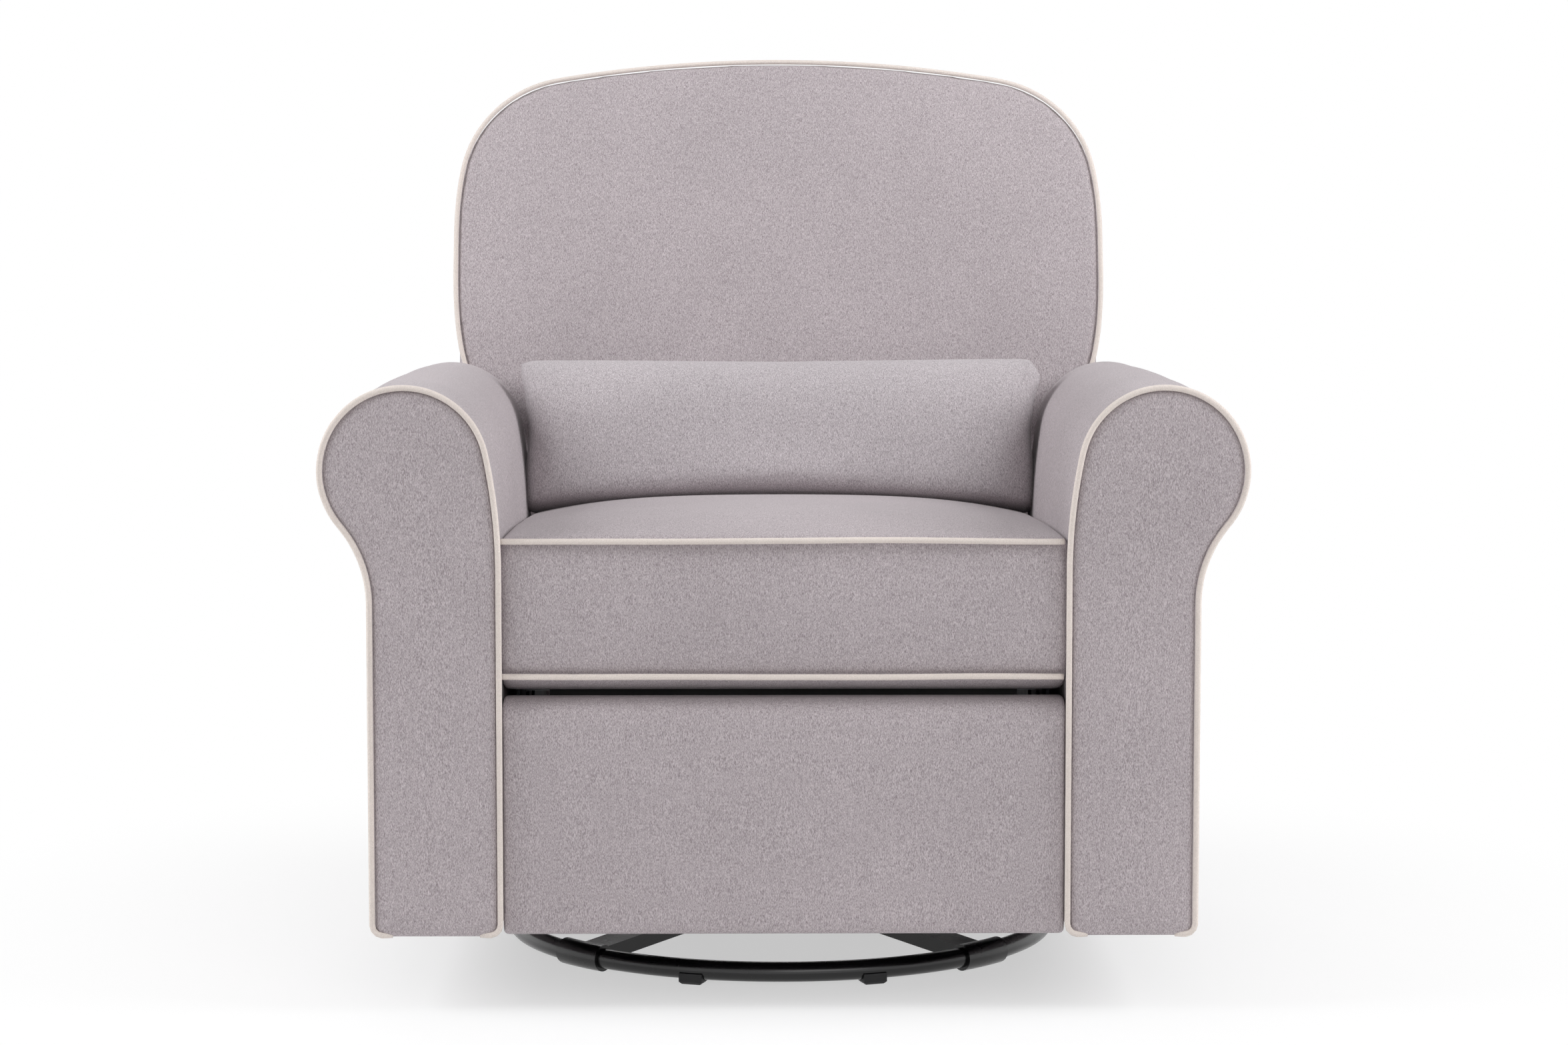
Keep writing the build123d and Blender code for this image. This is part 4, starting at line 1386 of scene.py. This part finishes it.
    def build(self) -> None:
        """Make and dress the cushion's pieces."""
        cover = self.cover()
        self.stuffing.even_out(cover)
        self.stuffing.swell(cover, self.held)
        refine(cover)
        dress(cover, HEATHER, Slot.FABRIC, "chair", "seat_cushion")
        dress(self.welts(), PIPING, Slot.WELT, "chair", "seat_welts")


@dataclass
class WingBack:
    """Reclining back: a piped front cushion and the padded outer shell with its wings.

    The walls list inset and distance from a face, in millimetres.
    """

    half: float = 360 * MM
    narrow: float = 256 * MM
    top: float = 517 * MM
    shoulder: float = 317 * MM
    low: float = -104 * MM
    wing: float = -4 * MM
    tuck_low: float = 20 * MM
    tuck_top: float = 168 * MM
    crest_r: float = 130 * MM
    crest_side: float = 10.0
    crest_top: float = 10.0
    pad: float = 60 * MM
    shell: float = 114 * MM
    crown: float = 15 * MM
    bulge: float = 10 * MM
    welt_r: float = 2.6 * MM
    welt_out: float = 0.2 * MM
    centre_v: float = 200 * MM
    loop_step: float = 6 * MM
    shell_gap: float = 0.4 * MM
    welt_low: float = 60 * MM
    welt_sunk: float = 0.6
    pad_wall: Steps = (
        (1.5, -56.0), (0.0, -48.0), (-1.0, -34.0), (-0.6, -18.0), (0.6, -9.0), (2.8, -3.0)
    )
    pad_dome: Dome = Dome(30, 0.012, 1.3, 3.2)
    shell_front: Steps = ((3.0, -1.0), (0.6, -5.0), (0.0, -14.0), (-1.2, -50.0))
    shell_rear: Steps = ((-0.8, 30.0), (0.6, 15.0), (3.5, 6.0), (8.0, 1.0))
    shell_dome: Dome = Dome(22, 0.04, 1.2, 2.4)
    stuffing: Stuffing = Stuffing(6 * MM, 2.0, 8 * MM)

    def crest(self) -> list[Point2]:
        """Rounded top from the right shoulder to the left one.

        Returns:
            Points across and up.
        """
        side = math.radians(self.crest_side)
        crown = math.radians(90 - self.crest_top)
        rise = self.top - self.shoulder - self.crest_r * (math.sin(crown) - math.sin(side))
        reach = self.half - self.crest_r * (math.cos(side) - math.cos(crown))
        share = (1 - math.sin(crown)) / math.cos(crown)
        side_r = (rise - reach * share) / (math.sin(side) - (1 - math.cos(side)) * share)
        top_r = (reach - side_r * (1 - math.cos(side))) / math.cos(crown)
        side_u, side_v = self.half - side_r, self.shoulder
        turn_u = side_u + math.cos(side) * (side_r - self.crest_r)
        turn_v = side_v + math.sin(side) * (side_r - self.crest_r)
        turn = 90 - self.crest_top - self.crest_side
        run = arc((side_u, side_v), side_r, 0, self.crest_side, 20)
        run += arc((turn_u, turn_v), self.crest_r, self.crest_side, turn, 26)
        run += arc((0, self.top - top_r), top_r, 90 - self.crest_top, 2 * self.crest_top, 90)
        run += arc((-turn_u, turn_v), self.crest_r, 90 + self.crest_top, turn, 26)
        run += arc((-side_u, side_v), side_r, 180 - self.crest_side, self.crest_side, 20)
        return run

    def flare(self) -> list[Point2]:
        """Right edge of the cushion above the arm, from its narrow part to the shoulder.

        Returns:
            Points across and up, from the seat upwards.
        """
        marks = [
            (self.narrow, self.low),
            (self.narrow, self.tuck_low),
            (self.narrow + 14 * MM, self.tuck_low + 40 * MM),
            (self.half - 60 * MM, self.tuck_top - 72 * MM),
            (self.half - 26 * MM, self.tuck_top - 40 * MM),
            (self.half - 10 * MM, self.tuck_top),
            (self.half - 3 * MM, self.tuck_top + 40 * MM),
            (self.half, self.tuck_top + 84 * MM),
            (self.half, self.shoulder),
        ]
        even = resample(marks, WELT_STEP, closed=False)
        return [(p.x, p.y) for p in rounded(even, 18, closed=False)]

    def outline(self, right: Sequence[Point2], passes: int) -> list[Point2]:
        """Closed outline of the cushion or the shell.

        Args:
            right: its right edge, from the bottom to the shoulder.
            passes: how often its corners are softened.

        Returns:
            The loop, starting at the bottom middle.
        """
        run = [(0.0, self.low), *right, *self.crest(), *mirrored(right)]
        even = resample(run, self.loop_step, closed=True)
        return [(p.x, p.y) for p in rounded(even, passes, closed=True)]

    def spread(self, u: float, v: float, share: float, inset: float, w: float) -> Vector:
        """Point drawn towards the back's middle.

        Args:
            u: across.
            v: up along the back.
            share: share of the way to the middle.
            inset: further distance inwards.
            w: height out of the back's plane.

        Returns:
            The point in the chair's frame.
        """
        away = Vector((u, v - self.centre_v))
        scale = max(0.0, (1 - share) - inset / away.length)
        return BACK_FACE.place(away.x * scale, self.centre_v + away.y * scale, w)

    def ring(self, loop: Sequence[Point2], share: float, inset: float, w: float) -> Ring:
        """Loop drawn towards the back's middle.

        Args:
            loop: the outline.
            share: share of the way to the middle.
            inset: further distance inwards.
            w: height out of the back's plane.

        Returns:
            The loop in the chair's frame.
        """
        return [self.spread(u, v, share, inset, w) for u, v in loop]

    def wall(self, loop: Sequence[Point2], steps: Steps, face: float) -> list[Ring]:
        """Loops of a side wall.

        Args:
            loop: the outline.
            steps: inset and distance from the face, in millimetres.
            face: height of the face out of the back's plane.

        Returns:
            The loops.
        """
        return [self.ring(loop, 0, inset * MM, face + w * MM) for inset, w in steps]

    def dome(self, loop: Sequence[Point2], dome: Dome, face: float, crown: float) -> list[Ring]:
        """Loops of a crowned face.

        Args:
            loop: the outline.
            dome: how the loops close.
            face: height of the face out of the back's plane.
            crown: height of the crown over the face.

        Returns:
            The loops from the edge inwards.
        """
        return [self.ring(loop, share, 0, face + crown * up) for share, up in dome.steps()]

    def cushion(self) -> bpy.types.Object:
        """Front cushion before its filling swells.

        Returns:
            The cushion's mesh.
        """
        loop = self.outline(self.flare(), 0)
        rings = [self.ring(loop, share, 0, -self.pad) for share in (1.0, 0.66, 0.33, 0.02)]
        rings += self.wall(loop, self.pad_wall, 0.0)
        rings += self.dome(loop, self.pad_dome, 0.0, self.crown)
        return ring_form("back_cushion_cover", rings)

    def held(self, spot: Vector) -> float:
        """How firmly a point of the cushion is sewn down.

        Args:
            spot: a point of the cover.

        Returns:
            1 at the rear and beside the arms, 0.9 at the front seam and 0 elsewhere.
        """
        at = BACK_FACE.local(spot)
        if at.z < -20 * MM or (at.y < self.tuck_top + 20 * MM and abs(at.x) > self.narrow):
            return 1.0
        return 0.9 if at.z < 1 * MM else 0.0

    def outer(self) -> bpy.types.Object:
        """Padded outer shell.

        Returns:
            The shell's mesh.
        """
        right = [(self.narrow, self.low), (self.narrow, self.wing)]
        right += [(self.half, self.wing), (self.half, self.shoulder)]
        loop = self.outline(right, 6)
        front = -self.pad - self.shell_gap
        rear = -self.pad - self.shell
        rings = [self.ring(loop, share, 0, front) for share in (1.0, 0.5, 0.03)]
        rings += self.wall(loop, self.shell_front, front)
        rings += self.wall(loop, self.shell_rear, rear)
        rings += self.dome(loop, self.shell_dome, rear, -self.bulge)
        return ring_form("back_outer_cover", rings)

    def welt(self) -> bpy.types.Object:
        """Piping along the front seam, from arm to arm over the crest.

        Returns:
            The piping's mesh.
        """
        right = [p for p in self.flare() if p[1] > self.tuck_top - self.welt_low]
        run = [*right, *self.crest(), *mirrored(right)]
        even = rounded(resample(run, WELT_STEP, closed=False), 3, closed=False)
        sunk = -self.welt_sunk * self.welt_r
        path = [self.spread(p.x, p.y, 0.0, -self.welt_out, sunk) for p in even]
        return tube("back_piping", path, self.welt_r)

    def build(self) -> None:
        """Make and dress the back's pieces."""
        cushion = self.cushion()
        self.stuffing.even_out(cushion)
        self.stuffing.swell(cushion, self.held)
        refine(cushion)
        dress(cushion, HEATHER, Slot.FABRIC, "back", "back_cushion")
        outer = self.outer()
        self.stuffing.even_out(outer)
        refine(outer)
        dress(outer, HEATHER, Slot.FABRIC, "back", "back_shell")
        dress(self.welt(), PIPING, Slot.WELT, "back", "back_welt")


@dataclass
class LumbarPillow:
    """Loose knife-edged pillow that stands on the seat against the back."""

    half: float = 274 * MM
    height: float = 154 * MM
    thick: float = 104 * MM
    left_ear: float = 6 * MM
    right_ear: float = 9 * MM
    left_worn: float = 3 * MM
    right_worn: float = 15 * MM
    foot_worn: float = 3 * MM
    dip: float = 2.5 * MM
    pinch: float = 4 * MM
    tuck: float = 9 * MM
    sink: float = 14 * MM
    slump: float = 0.58
    cols: int = 108
    rows: int = 34
    stuffing: Stuffing = Stuffing(5 * MM, 1.2, 3.5 * MM, loose=0.05, bend=0.2)

    def edge(self, a: float, b: float) -> Point2:
        """Place across and up of a point of the unit square, with eared corners.

        Args:
            a: -1 at the left end and 1 at the right.
            b: -1 at the bottom and 1 at the top.

        Returns:
            Across and up in metres.
        """
        ear, worn = (self.left_ear, self.left_worn) if a < 0 else (self.right_ear, self.right_worn)
        end = abs(a)
        ear *= smoothstep(0.35, 0.95, b)
        pinch = self.pinch * math.exp(-(((b + 0.12) / 0.3) ** 2))
        u = math.copysign(self.half * end + end**8 * (ear - pinch), a)
        if b > 0:
            worn *= smoothstep(0.93, 1.0, end) ** 3
            return (u, b * (self.height / 2 - worn - self.dip * (1 - a * a)))
        foot = self.height / 2 + self.tuck + self.sink * end**1.6
        return (u, b * (foot - self.foot_worn * smoothstep(0.96, 1.0, end)))

    def thickness(self, a: float, b: float) -> float:
        """Half of the pillow's thickness, fullest below its middle.

        Args:
            a: -1 at the left end and 1 at the right.
            b: -1 at the bottom and 1 at the top.

        Returns:
            Distance of either face from the middle.
        """
        ends = max(0.0, 1 - abs(a) ** 11) ** 0.55
        low = 2 * ((b + 1) / 2) ** self.slump - 1
        across = max(0.0, 1 - abs(low) ** 4.5) ** 0.6
        return self.thick / 2 * ends * across

    def cover(self) -> bpy.types.Object:
        """Pillow cover before its filling swells.

        Returns:
            The cover's mesh.
        """
        verts: list[Vector] = []
        faces = []
        wide = self.cols + 1
        across = [2 * i / self.cols - 1 for i in range(wide)]
        dense = [math.sin(math.pi / 2 * t * 0.999) * 0.45 + 0.55 * t for t in across]
        for front in (1, -1):
            base = len(verts)
            for b in (2 * j / self.rows - 1 for j in range(self.rows + 1)):
                for a in dense:
                    u, v = self.edge(a, b)
                    verts.append(PILLOW_MIDDLE.place(u, v, front * self.thickness(a, b)))
            for j in range(self.rows):
                for k in range(base + j * wide, base + j * wide + self.cols):
                    faces.append((k, k + 1, k + wide + 1, k + wide))
        return mesh_object("lumbar_pillow_cover", verts, faces)

    def build(self) -> None:
        """Make and dress the pillow."""
        cover = self.cover()
        self.stuffing.swell(cover, lambda spot: 0.0)
        refine(cover)
        # The pillow takes the lighter copy of the cloth, which is painted light.
        dress(cover, PAINTED_LIGHT_CLOTH, Slot.FABRIC, "back", "lumbar_pillow")


@dataclass
class FootrestPanel:
    """Padded panel under the seat front with a rolled top edge.

    The wrap lists share of the depth, then how far the ends, the bottom and the top are drawn
    in, in millimetres.
    """

    half: float = 269.4 * MM
    front: float = -424 * MM
    rear: float = -380 * MM
    low: float = 74 * MM
    top: float = 302 * MM
    foot: float = 5 * MM
    corner: float = 4 * MM
    crown: float = 2.2 * MM
    uneven: float = 0.7 * MM
    wrap: Steps = (
        (0.0, 3.0, 3.0, 3.0),
        (0.06, 0.8, 0.8, 0.8),
        (0.2, 0.0, 0.0, 0.0),
        (0.5, 0.0, 0.0, 0.3),
        (0.68, 0.0, 0.0, 2.0),
        (0.8, 0.0, 0.2, 5.0),
        (0.89, 0.2, 0.7, 9.5),
        (0.95, 0.7, 1.6, 14.5),
        (0.985, 1.5, 3.2, 20.0),
    )
    face: Dome = Dome(16, 0.0, 1.2, 2.2)

    def loop(self, y: float, ends: float, low: float, top: float) -> Ring:
        """Rounded outline of the panel at a depth.

        Args:
            y: the depth.
            ends: how far the ends are drawn in, in millimetres.
            low: how far the bottom is drawn in, in millimetres.
            top: how far the top is drawn in, in millimetres.

        Returns:
            The loop.
        """
        low, top = self.low + low * MM, self.top - top * MM
        radii = (self.foot, self.corner)
        run = rounded_box(self.half - ends * MM, low, top, radii, (84, 4, 32, 7))
        return [Vector((x, y, z)) for x, z in run]

    def roof(self, edge: Ring, share: float) -> Ring:
        """Loop between the panel's edge and its middle line.

        Args:
            edge: the outer loop.
            share: 0 at the edge and 1 at the middle line.

        Returns:
            The loop.
        """
        reach = self.half - (self.top - self.low) / 2
        return shrink(edge, share, reach, (edge[0].y, (self.low + self.top) / 2))

    def cover(self) -> bpy.types.Object:
        """Cover of the panel, wrapped round to its rear face.

        Returns:
            The cover's mesh.
        """
        back = self.loop(self.rear + 0.2 * MM, 3.0, 3.0, 3.0)
        rings = [self.roof(back, share) for share in (1.0, 0.6, 0.3, 0.08)]
        deep = self.front - self.rear
        rings += [self.loop(self.rear + deep * depth, *drawn) for depth, *drawn in self.wrap]
        edge = self.loop(self.front, 3.0, 6.0, 28.0)
        for share, height in self.face.steps():
            ring = self.roof(edge, share)
            for p in ring:
                p.y = self.front - self.crown * height
                p.y -= self.uneven * ripple(p, 0.13, 2.0) * smoothstep(0.0, 0.2, share)
            rings.append(ring)
        return ring_form("footrest_cover", rings)

    def build(self) -> None:
        """Make and dress the panel."""
        cover = self.cover()
        refine(cover)
        dress(cover, HEATHER, Slot.FABRIC, "footrest", "footrest_pad")


@dataclass
class FrameFinishes:
    """Finishes of the frame's own nodes."""

    groups: tuple = (
        (BLACK_COAT, ("base_ring", "cross_frame", "hub_tabs", "swivel_plate", "glide_frames")),
        (FOOT_RUBBER, ("base_feet",)),
        (BALL_STEEL, ("lower_race", "upper_race", "bearing_balls", "king_pin")),
        (
            DARK_STEEL,
            (
                "upper_pins", "front_links", "rear_links", "lower_pins", "hanger_plates",
                "cross_rails", "side_plates", "arm_bolts", "seat_rods", "hinge_arms",
                "hinge_plates", "tong_a", "tong_tube", "tong_b", "tong_c", "tong_d", "tong_f",
                "footrest_brackets",
            ),
        ),
        (ZINC_WIRE, ("seat_springs",)),
        (PINE, ("right_arm_frame", "left_arm_frame", "back_frame", "footrest_board")),
        # The seat frame takes the near-black board, which is painted shade for the gap between the
        # seat and the footrest.
        (SHADE_BOARD, ("seat_frame",)),
        (HEATHER, ("rear_panel",)),
    )

    def build(self) -> None:
        """Give each node its finish."""
        for finish, names in self.groups:
            for name in names:
                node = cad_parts[name]
                node.data.materials.clear()
                node.data.materials.append(finish.material())
                LOG.info("%s: %s", name, finish.name)


@dataclass(frozen=True)
class Lamp:
    """A square soft box: its place, its side in metres, its watts and its light's colour."""

    name: str
    place: tuple[float, float, float]
    size: float
    power: float
    tint: tuple[float, float, float]

    def hang(self, aim: Vector) -> None:
        """Hang the lamp.

        Args:
            aim: the point that it faces.
        """
        data = bpy.data.lights.new(self.name, "AREA")
        data.size = self.size
        data.energy = self.power
        data.color = self.tint
        made = bpy.data.objects.new(self.name, data)
        made.location = self.place
        facing = aim - Vector(self.place)
        made.rotation_euler = facing.to_track_quat("-Z", "Y").to_euler()
        bpy.context.scene.collection.objects.link(made)


COOL = (0.98, 0.99, 1.0)
WARM = (1.0, 0.99, 0.99)
LAMPS = (
    Lamp("overhead", (0.0, -0.7, 3.1), 2.4, 5, COOL),
    Lamp("right_high", (2.6, -0.7, 2.2), 1.8, 72, COOL),
    Lamp("left_high", (-2.6, -0.7, 2.2), 1.8, 70, COOL),
    Lamp("front", (1.0, -3.4, 1.9), 2.4, 25, WARM),
    Lamp("rear", (-0.8, 3.6, 2.0), 2.4, 34, WARM),
)


@dataclass
class Studio:
    """Pale floor, soft light and the camera at the photograph's viewing angle."""

    camera_place: tuple[float, float, float] = (-0.034, -3.83, 0.77)
    pitch: float = 5.0
    yaw: float = 0.57
    lens: float = 82.6
    sensor: float = 36.0
    floor_half: float = 30.0
    floor_drop: float = 0.5 * MM
    floor_tone: Colour = (0.9, 0.9, 0.9, 1.0)
    white: Colour = (1.0, 1.0, 1.0, 1.0)
    fill_light: float = 0.245
    aim: tuple[float, float, float] = (0.0, 0.0, 0.5)

    def floor(self) -> None:
        """Lay the pale floor, which fades to white away from the chair."""
        half = self.floor_half
        corners = [Vector((x * half, y * half, 0)) for x, y in ((-1, -1), (1, -1), (1, 1), (-1, 1))]
        made = mesh_object("floor", corners, [(0, 1, 2, 3)])
        made.location.z = -self.floor_drop
        material = bpy.data.materials.new("pale_floor")
        material.use_nodes = True
        n = Nodes(material.node_tree)
        shader = material.node_tree.nodes["Principled BSDF"]
        shader.inputs["Base Color"].default_value = self.floor_tone
        shader.inputs["Roughness"].default_value = 0.85
        shader.inputs["Specular IOR Level"].default_value = 0.2
        end = material.node_tree.nodes["Material Output"]
        glow = n.add("ShaderNodeEmission", {"Color": self.white, "Strength": 1.0})
        path = n.add("ShaderNodeLightPath")
        where = n.add("ShaderNodeTexCoord")
        reach = n.add("ShaderNodeVectorMath", operation="LENGTH")
        n.join(where.outputs["Object"], reach.inputs[0])
        fade = {"From Min": 0.25, "From Max": 1.1, "To Min": 0.55, "To Max": 1.0}
        far = n.add("ShaderNodeMapRange", fade, interpolation_type="SMOOTHSTEP")
        n.join(reach.outputs["Value"], far.inputs["Value"])
        seen = n.math("MAXIMUM", path.outputs["Is Camera Ray"], path.outputs["Is Glossy Ray"])
        mix = n.add("ShaderNodeMixShader")
        n.join(n.math("MULTIPLY", seen, far.outputs[0]), mix.inputs[0])
        n.join(shader.outputs[0], mix.inputs[1])
        n.join(glow.outputs[0], mix.inputs[2])
        n.join(mix.outputs[0], end.inputs["Surface"])
        made.data.materials.append(material)

    def world(self) -> None:
        """Even soft light all round, seen as white."""
        scene = bpy.context.scene
        scene.world = bpy.data.worlds.new("studio")
        scene.world.use_nodes = True
        n = Nodes(scene.world.node_tree)
        ground = scene.world.node_tree.nodes["Background"]
        path = n.add("ShaderNodeLightPath")
        direct = n.math("MAXIMUM", path.outputs["Is Camera Ray"], path.outputs["Is Glossy Ray"])
        direct = n.math("MAXIMUM", direct, path.outputs["Is Transmission Ray"])
        ranged = n.add("ShaderNodeMapRange", {"To Min": self.fill_light, "To Max": 1.0})
        n.join(direct, ranged.inputs["Value"])
        ground.inputs["Color"].default_value = self.white
        n.join(ranged.outputs[0], ground.inputs["Strength"])

    def camera(self) -> None:
        """Set the camera up in front of the chair."""
        data = bpy.data.cameras.new("camera")
        data.sensor_width = self.sensor
        data.lens = self.lens
        made = bpy.data.objects.new("camera", data)
        made.location = self.camera_place
        made.rotation_euler = (math.radians(90 - self.pitch), 0, -math.radians(self.yaw))
        bpy.context.scene.collection.objects.link(made)
        bpy.context.scene.camera = made

    def build(self) -> None:
        """Set the studio up."""
        self.floor()
        self.world()
        for lamp in LAMPS:
            lamp.hang(Vector(self.aim))
        self.camera()


def main() -> None:
    """Build the chair's looks in order."""
    logging.basicConfig(level=logging.INFO, format="%(name)s %(message)s")
    bpy.context.scene.view_settings.view_transform = "Standard"
    Studio().build()
    FrameFinishes().build()
    arms = (RollArm(Side.RIGHT), RollArm(Side.LEFT))
    for part in (*arms, SeatCushion(), WingBack(), LumbarPillow(), FootrestPanel()):
        part.build()
        LOG.info("%s built", type(part).__name__)


if __name__ == "__main__":
    main()
